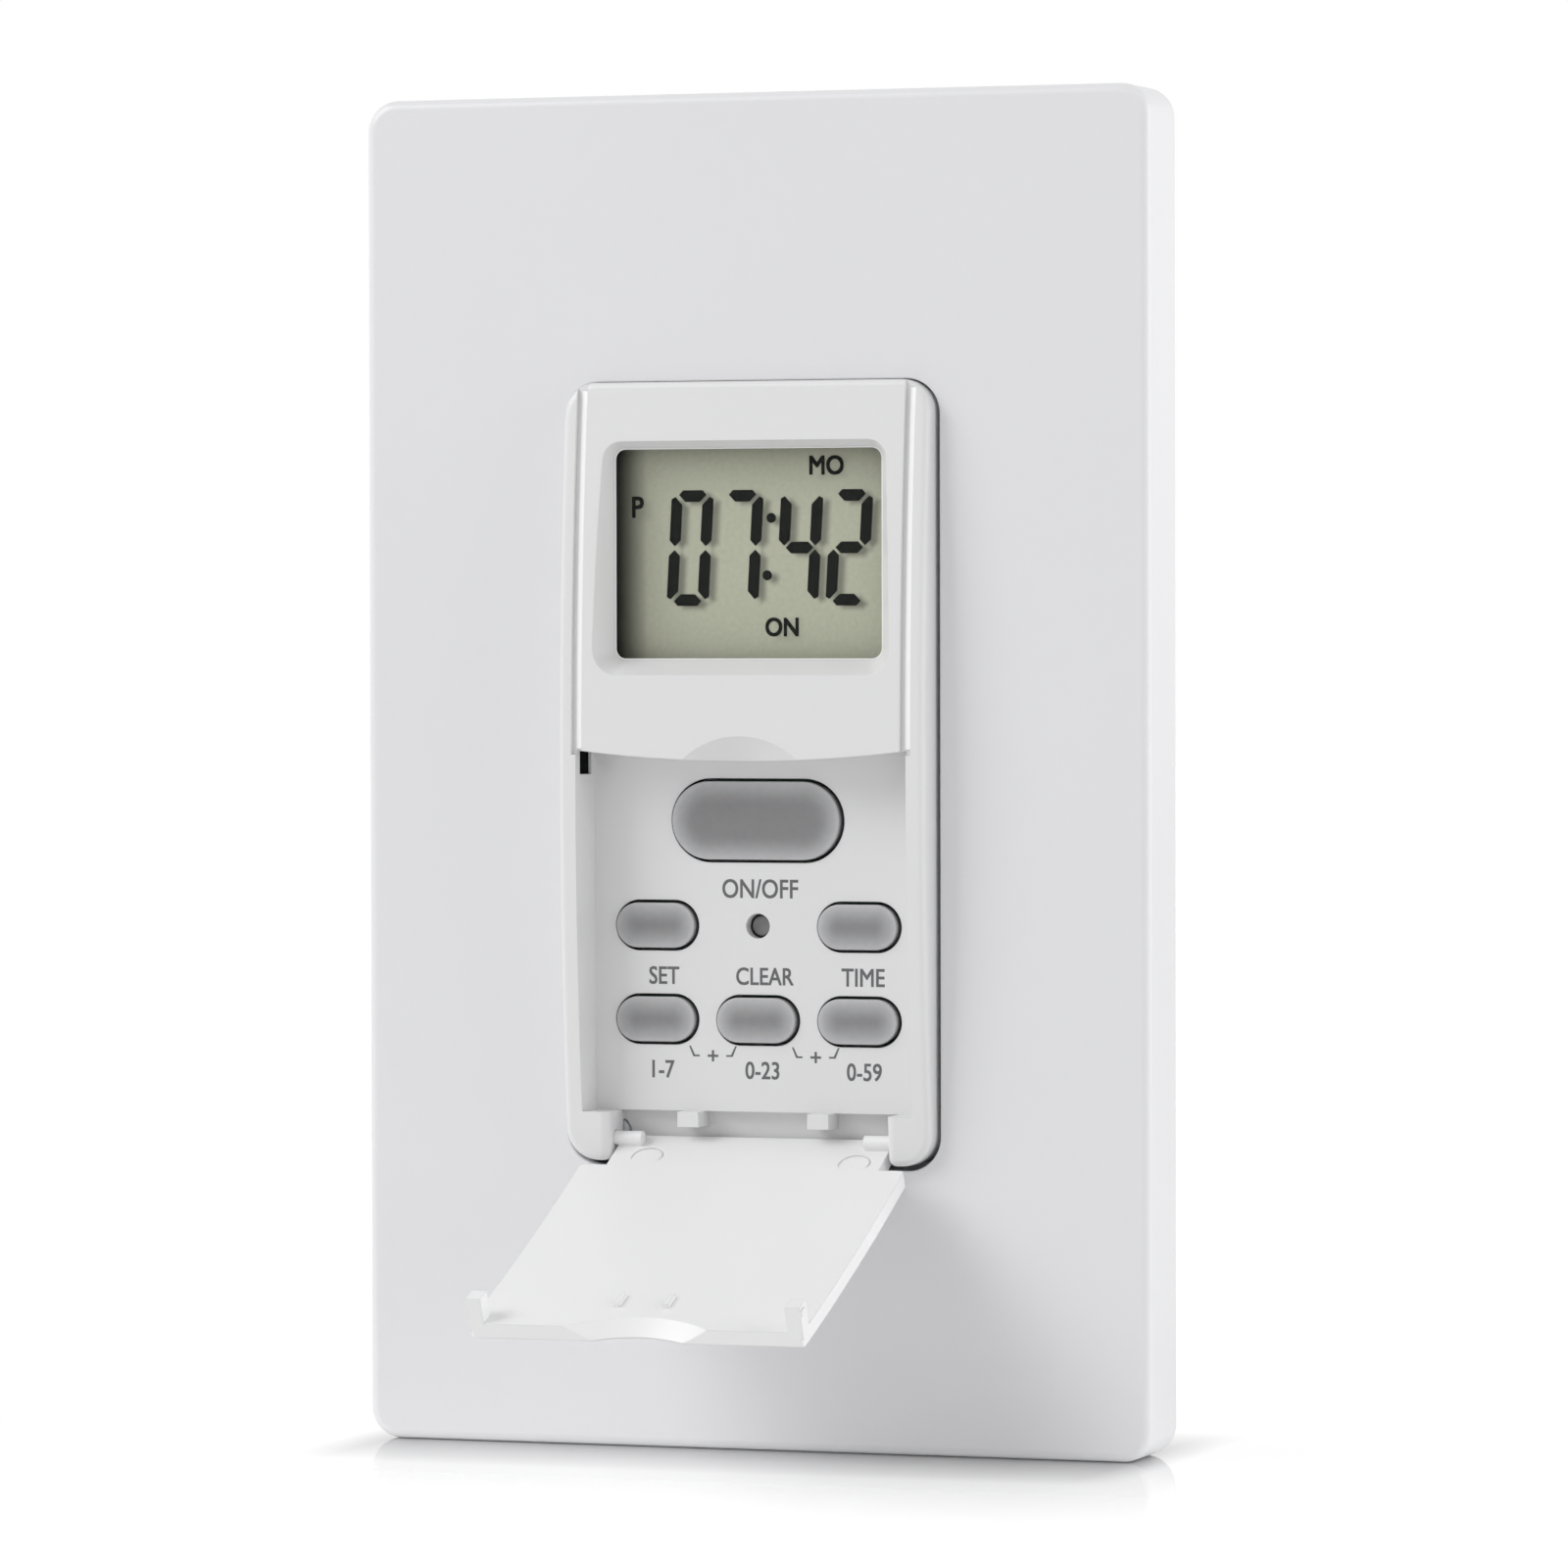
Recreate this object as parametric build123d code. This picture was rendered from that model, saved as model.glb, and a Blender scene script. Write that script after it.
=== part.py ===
from build123d import *
import math
import os

# Timer light switch, in millimetres
# X runs right and Z up as seen from the front, and Y runs back into the wall box.
# The origin is midway between the two box screws, in the plane of the wall.

# Shared clearances and overruns
overrun = 1.0
fit_gap = 0.05
slip_gap = 0.1
side_gap = 0.25

# Wall plate
plate_w = 69.85
plate_h = 114.3
plate_d = 7.5
plate_wall = 1.6
plate_corner_r = 2.7
plate_edge_r = 0.9
opening_r = 2.9
opening_edge_r = 0.35
snap_rib_w = 9.0
snap_rib_t = 0.8
snap_rib_d = 0.9
snap_rib_gap = 0.2
snap_rib_h = 40.0

# Plate frame under the wall plate
frame_gap = 0.35
frame_web_t = 1.6
frame_rim_t = 1.4
frame_opening_gap = 0.9
frame_screw_pitch = 96.8

# Mounting strap
strap_t = 1.2
strap_end_gap = 2.55
strap_end_w = 22.0
strap_lap = 2.0
ear_w = 34.0
ear_h = 8.0
strap_r = 2.0
strap_window_lap = 0.5
strap_hole_land = 4.6
ground_tab_w = 9.0
ground_tab_h = 10.0
ground_tab_x = -17.0

# Screws
box_screw_pitch = 83.3
box_screw_r = 1.75
box_screw_l = 22.0
box_neck_r = 1.45
box_neck_past_strap = 0.3
box_head_r = 3.4
box_head_h = 2.0
box_slot_w = 6.6
head_clear_r = 4.4
frame_screw_r = 1.7
frame_screw_l = 6.0
frame_head_r = 3.1
frame_head_h = 1.5
driver_slot_w = 0.8
driver_slot_d = 0.8
ground_screw_r = 1.7
ground_head_r = 3.2
ground_head_h = 2.2
long_screw_r = 1.2
long_screw_depth = 4.2
long_head_r = 2.1
long_head_h = 1.3
board_screw_r = 0.7
board_screw_l = 2.0
board_head_r = 1.3
board_head_h = 0.6

# Front cover
cover_w = 32.5
cover_h = 65.7
cover_side_gap = 0.35
cover_top_gap = 0.12
cover_end_gap = 0.45
cover_corner_r = 2.7
cover_edge_r = 0.6
cover_wall = 1.65
cover_proud_mid = 3.2
cover_proud_end = 1.4
well_side_t = 1.6
well_land_h = 4.15
well_top_mid_z = 0.97
well_top_side_z = 1.85
floor_y = -6.1
floor_t = 1.2
groove_from_side = 1.65
groove_w = 0.9
groove_d = 0.35
scoop_w = 10.5
scoop_h = 2.1
scoop_r = 11.0
cheek_w = 2.25
trough_y = -4.9
trough_t = 1.0
block_edge_r = 0.7
pad_x = 5.8
pad_w = 1.9
pad_h = 1.3
pad_front_y = -7.55
pocket_top_z = 1.75
pocket_h = 1.95
pocket_front_y = -9.7
pocket_back_y = -6.9
pocket_d = 1.05
bridge_top_z = 4.6
lower_cavity_top_z = 1.5
upper_cavity_y = -7.9
corner_boss_from_side = 3.15
corner_boss_from_end = 2.25
corner_boss_r = 1.9
board_boss_r = 1.6

# Display
window_from_side = 4.29
window_from_end = 5.53
window_above_well = 8.47
window_r = 1.0
bevel_y = -8.51
bevel_run = 0.93
bevel_rise = 1.51
lens_lip = 1.3
lens_t = 0.9
lens_sink = 0.12
lcd_side_lap = 1.24
lcd_top_lap = 0.88
lcd_low_lap = 0.84
lcd_ledge_h = 2.8
lcd_glass_t = 0.8
reflector_inset = 0.3
reflector_t = 0.2
holder_wall = 0.9
holder_floor_t = 0.8
strip_h = 1.8
strip_inset = 1.4
strip_from_edge = 0.4

# Control board
board_t = 1.2
board_front_y = -3.3
board_gap = 0.4
board_rim_gap = 0.3
board_hole_from_side = 2.0
board_hole_under_bridge = 1.4
low_board_hole_from_side = 2.8
low_board_hole_above_well = 2.5

# Keypad
key_h = 3.9
key_space = 1.92
key_from_side = 2.08
manual_from_side = 7.125
manual_h = 6.7
row_shares = (0.1709, 0.4709, 0.7388)
key_proud = 0.4
key_gap = 0.2
key_crown_r = 0.5
key_back_gap = 0.2
key_travel = 0.7
key_stem_inset = 0.8
pill_inset = 0.3
pill_t = 0.25
contact_gap = 0.03
mat_t = 0.8
mat_side_gap = 0.2
mat_end_gap = 0.3
mat_hem = 1.4
mat_hole_gap = 0.6
web_t = 0.25
web_seat = 0.3
web_hold = 0.5
mat_rim_w = 0.6

# Reset switch
reset_hole_r = 1.05
reset_body_w = 4.0
reset_body_h = 3.2
reset_body_t = 1.4
reset_plunger_r = 0.85
reset_plunger_out = 0.5
reset_plunger_in = 0.6
reset_travel = 0.25
reset_mat_gap = 0.5

# Lid
lid_t = 1.3
lid_end_gap = 0.22
lid_shoulder_rise = 1.3
lid_tab_gap = 0.3
lid_tab_tail = 1.3
lid_corner_r = 0.4
hinge_y = -7.3
hinge_from_end = 1.85
lid_open_deg = 111.1
pin_r = 0.6
pin_inward_l = 2.2
pin_outward_l = 1.35
pin_hole_end_gap = 0.15
pin_web_w = 0.9
post_w = 1.3
post_h = 1.6
post_d = 2.2
bump_out = 0.16
bump_d = 0.8
bump_h = 0.8
thumb_w = 12.4
thumb_depth = 1.5
lid_rib_xs = (-2.8, 1.4)
lid_rib_from_end = 4.65
lid_rib_w = 0.5
lid_rib_h = 2.0
lid_rib_d = 0.35
left_ejector_from_side = 5.5
left_ejector_from_hinge = 2.1
right_ejector_from_side = 4.7
right_ejector_from_hinge = 2.6
ejector_r = 1.4
ejector_line = 0.15
ejector_d = 0.08

# Parts on the back of the control board
chip_x = -6.0
chip_above_link = 11.0
chip_w = 10.0
chip_t = 1.4
chip_corner_r = 0.4
chip_leg_w = 0.35
chip_leg_l = 1.0
chip_leg_t = 0.15
chip_leg_margin = 1.0
chip_legs = 11
crystal_x = 7.0
crystal_under_chip = 1.0
crystal_r = 1.0
crystal_l = 6.2
cell_z = 11.0
cell_r = 6.25
cell_t = 2.0
cell_base_w = 15.0
cell_base_h = 14.0
cell_base_t = 0.8
cell_clip_w = 5.0
cell_clip_t = 0.3
link_from_end = 3.8
link_pins = 8
link_w = 20.0
link_block_h = 2.4
link_block_t = 2.4
link_pin_w = 0.6

# Rear housing
housing_w = 43.0
housing_over_cover = 0.15
housing_d = 28.0
housing_wall = 1.6
housing_r = 2.0
column_r = 3.0
column_bore_r = 1.4
recess_r = 2.4
terminal_z = 10.0
terminal_pocket_h = 11.0
terminal_pocket_y0 = 8.0
terminal_pocket_y1 = 20.0
terminal_pocket_d = 5.0
terminal_wall = 1.2
terminal_plate_t = 1.0
terminal_plate_gap = 0.8
terminal_leg_w = 2.0
terminal_leg_t = 0.8
terminal_screw_r = 1.8
terminal_screw_l = 2.0
terminal_head_r = 3.3
terminal_head_h = 2.0
vent_w = 1.4
vent_l = 9.0
vent_pitch = 3.2
vents = 5

# Power board
power_side_gap = 0.6
power_end_gap = 4.6
power_t = 1.6
power_rib_h = 1.2
power_rib_w = 1.4
power_rib_x = 12.0
power_screw_x = 17.0
power_screw_z = 0.0
power_post_r = 1.9
power_screw_r = 0.9
power_screw_l = 3.2
power_head_r = 1.7
power_head_h = 1.1

# Relay
relay_wall_gap = 0.8
relay_z = 12.0
relay_w = 16.0
relay_h = 19.0
relay_d = 15.0
relay_base_t = 2.0
relay_wall = 0.7
bobbin_r = 4.3
bobbin_flange_t = 0.8
bobbin_l = 8.4
coil_r = 3.7
core_r = 1.9
yoke_t = 1.2
yoke_w = 8.0
armature_t = 0.9
armature_gap = 0.5
armature_deg = 4.0
contact_slack = 0.03
contact_arm_t = 0.3
contact_r = 1.1
contact_t = 0.5
fixed_contact_w = 3.0
fixed_contact_t = 0.5
relay_pin_w = 0.8

# Other power parts
film_x = -6.0
film_above_link = 15.0
film_w = 17.5
film_h = 6.5
film_d = 11.0
film_r = 0.5
filter_wall_gap = 1.3
filter_zs = [16.5, 5.5]
filter_r = 4.0
filter_l = 11.0
filter_groove = 0.3
varistor_x = 10.5
varistor_above_link = 17.0
varistor_r = 4.3
varistor_t = 3.2
lead_r = 0.3
lead_gap = 2.5
lead_stand = 1.0
diode_x = 9.0
diodes_above_link = [11.0, 7.8, 4.6]
diode_r = 1.3
diode_l = 5.0
fuse_x = -8.0
fuse_above_link = 6.5
fuse_r = 1.7
fuse_l = 9.0

# Worked-out places of the plate and the front cover
opening_w = cover_w + 2 * cover_side_gap
opening_h = cover_h + cover_top_gap + cover_end_gap
opening_z = (cover_top_gap - cover_end_gap) / 2
plate_in_w = plate_w - 2 * plate_wall
plate_in_h = plate_h - 2 * plate_wall
plate_in_r = plate_corner_r - plate_wall
plate_in_y = -plate_d + plate_wall
cover_back_y = -strap_t
cover_front_y = -plate_d - cover_proud_mid
cover_sag = cover_proud_mid - cover_proud_end
bow_r = (cover_h / 2) ** 2 / (2 * cover_sag) + cover_sag / 2
bow_y = cover_front_y + bow_r
cover_in_w = cover_w - 2 * cover_wall
cover_in_h = cover_h - 2 * cover_wall
floor_back_y = floor_y + floor_t
well_w = cover_w - 2 * well_side_t
well_bottom_z = -cover_h / 2 + well_land_h
trough_w = well_w - 2 * cheek_w
groove_x = cover_w / 2 - groove_from_side
corner_boss_x = cover_w / 2 - corner_boss_from_side
corner_boss_z = cover_h / 2 - corner_boss_from_end

# Worked-out places of the display
window_w = cover_w - 2 * window_from_side
window_top_z = cover_h / 2 - window_from_end
window_low_z = well_top_mid_z + window_above_well
window_h = window_top_z - window_low_z
window_z = (window_top_z + window_low_z) / 2
lens_front_y = bevel_y + lens_sink
lens_back_y = upper_cavity_y + lens_t
lcd_w = window_w + 2 * lcd_side_lap
lcd_top_z = window_top_z + lcd_top_lap
lcd_front_h = window_h + lcd_top_lap + lcd_low_lap
lcd_rear_h = lcd_front_h + lcd_ledge_h
lcd_front_y = lens_back_y + slip_gap
lcd_mid_y = lcd_front_y + lcd_glass_t
lcd_back_y = lcd_mid_y + lcd_glass_t
reflector_back_y = lcd_back_y + reflector_t

# Worked-out places of the lid
lid_w = well_w - 2 * side_gap
lid_free_z = well_top_mid_z - lid_end_gap
lid_shoulder_z = well_bottom_z + lid_shoulder_rise
lid_tab_w = trough_w - 2 * lid_tab_gap
hinge_z = -cover_h / 2 + hinge_from_end
lid_tab_end_z = hinge_z - lid_tab_tail
pin_in_x = lid_tab_w / 2 - pin_inward_l
pin_out_x = lid_tab_w / 2 + pin_outward_l
lid_rib_z = lid_free_z - lid_rib_from_end
ejector_spots = [(-lid_w / 2 + left_ejector_from_side, hinge_z + left_ejector_from_hinge),
                 (lid_w / 2 - right_ejector_from_side, hinge_z + right_ejector_from_hinge)]

# Worked-out places of the control board and the keypad
board_w = cover_in_w - 2 * board_rim_gap
board_h = cover_in_h - 2 * board_rim_gap
board_back_y = board_front_y + board_t
board_clear_y = board_front_y - board_gap
board_notch_x = corner_boss_x - corner_boss_r - board_rim_gap
board_notch_z = corner_boss_z - corner_boss_r - board_rim_gap
board_holes = [(board_w / 2 - board_hole_from_side, bridge_top_z - board_hole_under_bridge),
               (board_w / 2 - low_board_hole_from_side, well_bottom_z + low_board_hole_above_well)]
key_w = (well_w - 2 * key_from_side - 2 * key_space) / 3
key_pitch_x = key_w + key_space
manual_w = well_w - 2 * manual_from_side
well_tall = well_top_mid_z - well_bottom_z
manual_z, upper_row_z, lower_row_z = [well_top_mid_z - share * well_tall for share in row_shares]
key_front_y = floor_y - key_proud
key_back_y = floor_back_y + key_back_gap
mat_w = board_w - 2 * mat_side_gap
mat_top_z = lower_cavity_top_z - mat_end_gap
mat_bottom_z = lower_row_z - key_h / 2 - mat_hem
mat_front_y = board_front_y - mat_t
pill_back_y = board_front_y - key_travel - contact_gap
pill_front_y = pill_back_y - pill_t
web_back_y = key_back_y + web_t

# Worked-out places of the strap and the rear housing
housing_h = cover_h + 2 * housing_over_cover
strap_h = plate_in_h - 2 * strap_end_gap
strap_mid_w = housing_w
strap_mid_h = housing_h + 2 * strap_lap
strap_window_w = board_w - 2 * strap_window_lap
strap_window_h = 2 * (corner_boss_z - strap_hole_land)
housing_floor_y = housing_d - housing_wall
terminal_mid_y = (terminal_pocket_y0 + terminal_pocket_y1) / 2
pocket_wall_x = housing_w / 2 - terminal_pocket_d - terminal_wall
power_back_y = housing_floor_y - power_rib_h
power_front_y = power_back_y - power_t
power_w = housing_w - 2 * housing_wall - 2 * power_side_gap
power_h = housing_h - 2 * housing_wall - 2 * power_end_gap
link_z = -power_h / 2 + link_from_end
chip_z = link_z + chip_above_link
crystal_z = chip_z - crystal_under_chip
film_z = link_z + film_above_link
filter_x = pocket_wall_x - filter_wall_gap - filter_r
varistor_z = link_z + varistor_above_link
diode_zs = [link_z + rise for rise in diodes_above_link]
fuse_z = link_z + fuse_above_link

# Worked-out places inside the relay
relay_left = relay_wall_gap - pocket_wall_x
relay_right = relay_left + relay_w
relay_front = power_front_y - relay_d
relay_low = relay_z - relay_h / 2
relay_high = relay_z + relay_h / 2
relay_base_y = power_front_y - relay_base_t
coil_x = relay_left + relay_wall + slip_gap + bobbin_r + side_gap
coil_y1 = relay_base_y - yoke_t
coil_y0 = coil_y1 - bobbin_l
coil_z = relay_low + relay_wall + side_gap + bobbin_r + yoke_t
yoke_wall_z = coil_z + bobbin_r + side_gap
core_tip_y = coil_y0 - side_gap
armature_y1 = core_tip_y - armature_gap
armature_y0 = armature_y1 - armature_t
pivot_y = armature_y1 + slip_gap + yoke_t / 2
pivot_z = yoke_wall_z + yoke_t / 2
contact_travel = (pivot_z - coil_z + contact_r) * math.sin(math.radians(armature_deg))
arm_end_x = relay_right - relay_wall - fixed_contact_w

# Each key's place and size: x, z, width and height
keys = {
    "manual": (0, manual_z, manual_w, manual_h),
    "prog": (-key_pitch_x, upper_row_z, key_w, key_h),
    "clock": (key_pitch_x, upper_row_z, key_w, key_h),
    "day": (-key_pitch_x, lower_row_z, key_w, key_h),
    "hour": (0, lower_row_z, key_w, key_h),
    "minute": (key_pitch_x, lower_row_z, key_w, key_h),
}
signs = (-1, 1)
corners = [(sx, sz) for sx in signs for sz in signs]


def block(x0, x1, y0, y1, z0, z1):
    """A box between two corners."""
    centre = Pos((x0 + x1) / 2, (y0 + y1) / 2, (z0 + z1) / 2)
    return centre * Box(abs(x1 - x0), abs(y1 - y0), abs(z1 - z0))


def prism(outline, y0, y1, x=0, z=0):
    """A flat outline drawn as seen from the front, carried from y0 back to y1."""
    plane = Plane(origin=(x, y1, z), x_dir=(1, 0, 0), z_dir=(0, -1, 0))
    return extrude(plane * outline, amount=y1 - y0)


def slab(w, h, r, y0, y1, x=0, z=0):
    """A rounded rectangle as seen from the front."""
    return prism(RectangleRounded(w, h, r), y0, y1, x, z)


def pill_slab(w, h, y0, y1, x=0, z=0):
    """A stadium shape as seen from the front."""
    return prism(SlotOverall(w, h), y0, y1, x, z)


def rod_y(r, y0, y1, x, z):
    """A round bar that runs back."""
    return prism(Circle(r), y0, y1, x, z)


def rod_x(r, x0, x1, y, z):
    """A round bar that runs across."""
    return Pos((x0 + x1) / 2, y, z) * Rot(0, 90, 0) * Cylinder(r, abs(x1 - x0))


def bow_drum(inset, length):
    """The drum about X whose front gives the cover and the lid their bow."""
    return Pos(0, bow_y, 0) * Rot(0, 90, 0) * Cylinder(bow_r - inset, length)


def edges_at_y(shape, y):
    """The edges that lie in one plane facing the front."""
    near = fit_gap / 2
    boxes = [(edge, edge.bounding_box()) for edge in shape.edges()]
    return [edge for edge, box in boxes if abs(box.min.Y - y) < near and box.size.Y < near]


def group(pieces):
    """Separate solids kept in one sub-part."""
    return Compound(children=[solid for piece in pieces for solid in piece.solids()])


def slotted_screw(x, z, head_y, facing, head_r, head_h, shank_r, shank_l):
    """A pan-head screw along Y. facing is -1 where the head is in front and 1 where it is behind."""
    top_y = head_y + facing * head_h
    tip_y = head_y - facing * shank_l
    head = rod_y(head_r, min(head_y, top_y), max(head_y, top_y), x, z)
    head = fillet(edges_at_y(head, top_y), head_h / 3)
    slot_y = top_y - facing * driver_slot_d * head_h / box_head_h
    slot = block(x - driver_slot_w / 2, x + driver_slot_w / 2, min(slot_y, top_y), max(slot_y, top_y),
                 z - head_r, z + head_r)
    shank = rod_y(shank_r, min(head_y, tip_y), max(head_y, tip_y), x, z)
    return head - slot + shank


def make_wall_plate():
    """The thin shell that snaps over the frame."""
    body = slab(plate_w, plate_h, plate_corner_r, -plate_d, 0)
    body = fillet(edges_at_y(body, -plate_d), plate_edge_r)
    body -= slab(plate_in_w, plate_in_h, plate_in_r, plate_in_y, overrun)
    body -= slab(opening_w, opening_h, opening_r, -plate_d - overrun, 0, z=opening_z)
    rim = [edge for edge in edges_at_y(body, -plate_d)
           if abs(edge.center().X) < opening_w / 2 + fit_gap
           and abs(edge.center().Z - opening_z) < opening_h / 2 + fit_gap]
    body = fillet(rim, opening_edge_r)
    rib_y = -strap_t + snap_rib_gap
    for sz in signs:
        edge_z = sz * plate_in_h / 2
        for sx in signs:
            x = sx * plate_in_w / 4
            body += block(x - snap_rib_w / 2, x + snap_rib_w / 2, rib_y, rib_y + snap_rib_t,
                          edge_z - sz * snap_rib_d, edge_z + sz * plate_wall / 2)
    for sx in signs:
        edge_x = sx * plate_in_w / 2
        body += block(edge_x - sx * snap_rib_d, edge_x + sx * plate_wall / 2, rib_y, rib_y + snap_rib_t,
                      -snap_rib_h / 2, snap_rib_h / 2)
    return body


def make_plate_frame():
    """The screwed-on frame that the wall plate snaps to."""
    w = plate_in_w - 2 * frame_gap
    h = plate_in_h - 2 * frame_gap
    hole_w = opening_w + 2 * frame_opening_gap
    hole_h = opening_h + 2 * frame_opening_gap
    web_front_y = -strap_t - frame_web_t
    body = slab(w, h, plate_in_r, plate_in_y, -strap_t)
    ring_y = plate_in_y - overrun
    rims = 2 * frame_rim_t
    ring = slab(w - rims, h - rims, plate_in_r, ring_y, web_front_y)
    ring -= slab(hole_w + rims, hole_h + rims, opening_r, ring_y, web_front_y, z=opening_z)
    body -= ring
    body -= slab(hole_w, hole_h, opening_r, ring_y, overrun, z=opening_z)
    for sz in signs:
        body -= rod_y(frame_screw_r + slip_gap, plate_in_y, overrun, 0, sz * frame_screw_pitch / 2)
        body -= rod_y(head_clear_r, plate_in_y, overrun, 0, sz * box_screw_pitch / 2)
    return body


def make_mounting_strap():
    """The steel strap that carries everything and screws to the wall box."""
    outline = RectangleRounded(strap_end_w, strap_h, strap_r)
    outline += RectangleRounded(strap_mid_w, strap_mid_h, strap_r)
    for sz in signs:
        outline += Pos(0, sz * (strap_h - ear_h) / 2) * RectangleRounded(ear_w, ear_h, strap_r)
    tab_z = -(strap_mid_h + ground_tab_h) / 2
    tab = RectangleRounded(ground_tab_w, ground_tab_h + 2 * strap_r, strap_r)
    outline += Pos(ground_tab_x, tab_z + strap_r) * tab
    outline -= RectangleRounded(strap_window_w, strap_window_h, strap_r)
    outline -= Pos(ground_tab_x, tab_z) * Circle(ground_screw_r + fit_gap)
    for sz in signs:
        outline -= Pos(0, sz * box_screw_pitch / 2) * SlotOverall(box_slot_w, 2 * (box_screw_r + slip_gap))
        outline -= Pos(0, sz * frame_screw_pitch / 2) * Circle(frame_screw_r + fit_gap)
    for sx, sz in corners:
        outline -= Pos(sx * corner_boss_x, sz * corner_boss_z) * Circle(column_bore_r)
    return prism(outline, -strap_t, 0)


def make_front_cover():
    """The bowed front with the display window, the keypad well and the hinge blocks."""
    out_y = cover_front_y - overrun
    body = slab(cover_w, cover_h, cover_corner_r, out_y, cover_back_y)
    body &= bow_drum(0, cover_w + overrun)
    face = body.faces().sort_by(Axis.Y)[0]
    body = fillet(face.outer_wire().edges(), cover_edge_r)

    half = well_w / 2
    side, mid, low = (half, well_top_side_z), (0, well_top_mid_z), (-half, well_top_side_z)
    well_line = Polyline(low, (-half, well_bottom_z), (half, well_bottom_z), side)
    well = make_face(well_line + ThreePointArc(side, mid, low))
    body -= prism(well, out_y, floor_y)
    trough_h = cover_h / 2 + well_bottom_z
    body -= block(-trough_w / 2, trough_w / 2, out_y, trough_y,
                  well_bottom_z - trough_h - overrun, well_bottom_z)
    cheeks = [edge for edge in body.edges() if edge.geom_type == GeomType.CIRCLE
              and abs(abs(edge.center().X) - trough_w / 2) < fit_gap and edge.center().Z < well_bottom_z]
    body = fillet(cheeks, block_edge_r)

    for sx in signs:
        groove_mid = sx * groove_x
        groove = block(groove_mid - groove_w / 2, groove_mid + groove_w / 2, out_y, upper_cavity_y,
                       lower_cavity_top_z, cover_h / 2 + overrun)
        body -= groove - bow_drum(groove_d, cover_w + overrun)
        wall_x = sx * half
        body -= block(wall_x - sx * fit_gap, wall_x + sx * pocket_d, pocket_front_y, pocket_back_y,
                      pocket_top_z - pocket_h, pocket_top_z)

    scoop_chord_r = (scoop_w / 2) ** 2 / (2 * scoop_h) + scoop_h / 2
    scoop_y = cover_front_y - math.sqrt(scoop_r ** 2 - scoop_chord_r ** 2)
    body -= Pos(0, scoop_y, well_top_mid_z + scoop_h - scoop_chord_r) * Sphere(scoop_r)

    bevel_slope = bevel_run / bevel_rise
    bevel_out = bevel_y - out_y
    bevel_grow = bevel_slope * bevel_out
    wide = RectangleRounded(window_w + 2 * bevel_grow, window_h + 2 * bevel_grow, window_r + bevel_grow)
    narrow = RectangleRounded(window_w, window_h, window_r)
    at_back = Plane(origin=(0, bevel_y, window_z), x_dir=(1, 0, 0), z_dir=(0, -1, 0))
    body -= loft([at_back * narrow, at_back.offset(bevel_out) * wide])
    body -= slab(window_w, window_h, window_r, bevel_y - fit_gap, 0, 0, window_z)

    body -= slab(cover_in_w, cover_in_h, cover_corner_r - cover_wall, board_clear_y, cover_back_y + overrun)
    top_z = cover_in_h / 2
    body -= block(-cover_in_w / 2, cover_in_w / 2, upper_cavity_y, cover_back_y, bridge_top_z, top_z)
    body -= block(-cover_in_w / 2, cover_in_w / 2, floor_back_y, cover_back_y,
                  well_bottom_z + trough_t, lower_cavity_top_z)
    shell = slab(cover_w, cover_h, cover_corner_r, upper_cavity_y - cover_wall, cover_back_y)
    for sx, sz in corners:
        x, z = sx * corner_boss_x, sz * corner_boss_z
        boss = rod_y(corner_boss_r, upper_cavity_y if sz > 0 else board_clear_y, cover_back_y, x, z)
        body += boss & shell
        bore_y = cover_back_y - long_screw_depth - slip_gap
        body -= rod_y(long_screw_r + fit_gap, bore_y, cover_back_y + overrun, x, z)
    for x, z in board_holes:
        for sx in signs:
            body += rod_y(board_boss_r, floor_back_y, board_front_y, sx * x, z)
            body -= rod_y(board_screw_r + fit_gap, board_front_y - board_screw_l, board_front_y + overrun,
                          sx * x, z)

    for x, z, w, h in keys.values():
        body -= pill_slab(w + 2 * key_gap, h + 2 * key_gap, floor_y - overrun, 0, x, z)
    body -= rod_y(reset_hole_r, floor_y - overrun, 0, 0, upper_row_z)

    for sx in signs:
        x = sx * pad_x
        body += block(x - pad_w / 2, x + pad_w / 2, pad_front_y, trough_y + trough_t / 2,
                      well_bottom_z - pad_h, well_bottom_z)
        body -= rod_x(pin_r + fit_gap, sx * (trough_w / 2 - overrun), sx * (pin_out_x + pin_hole_end_gap),
                      hinge_y, hinge_z)
    return body


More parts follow.
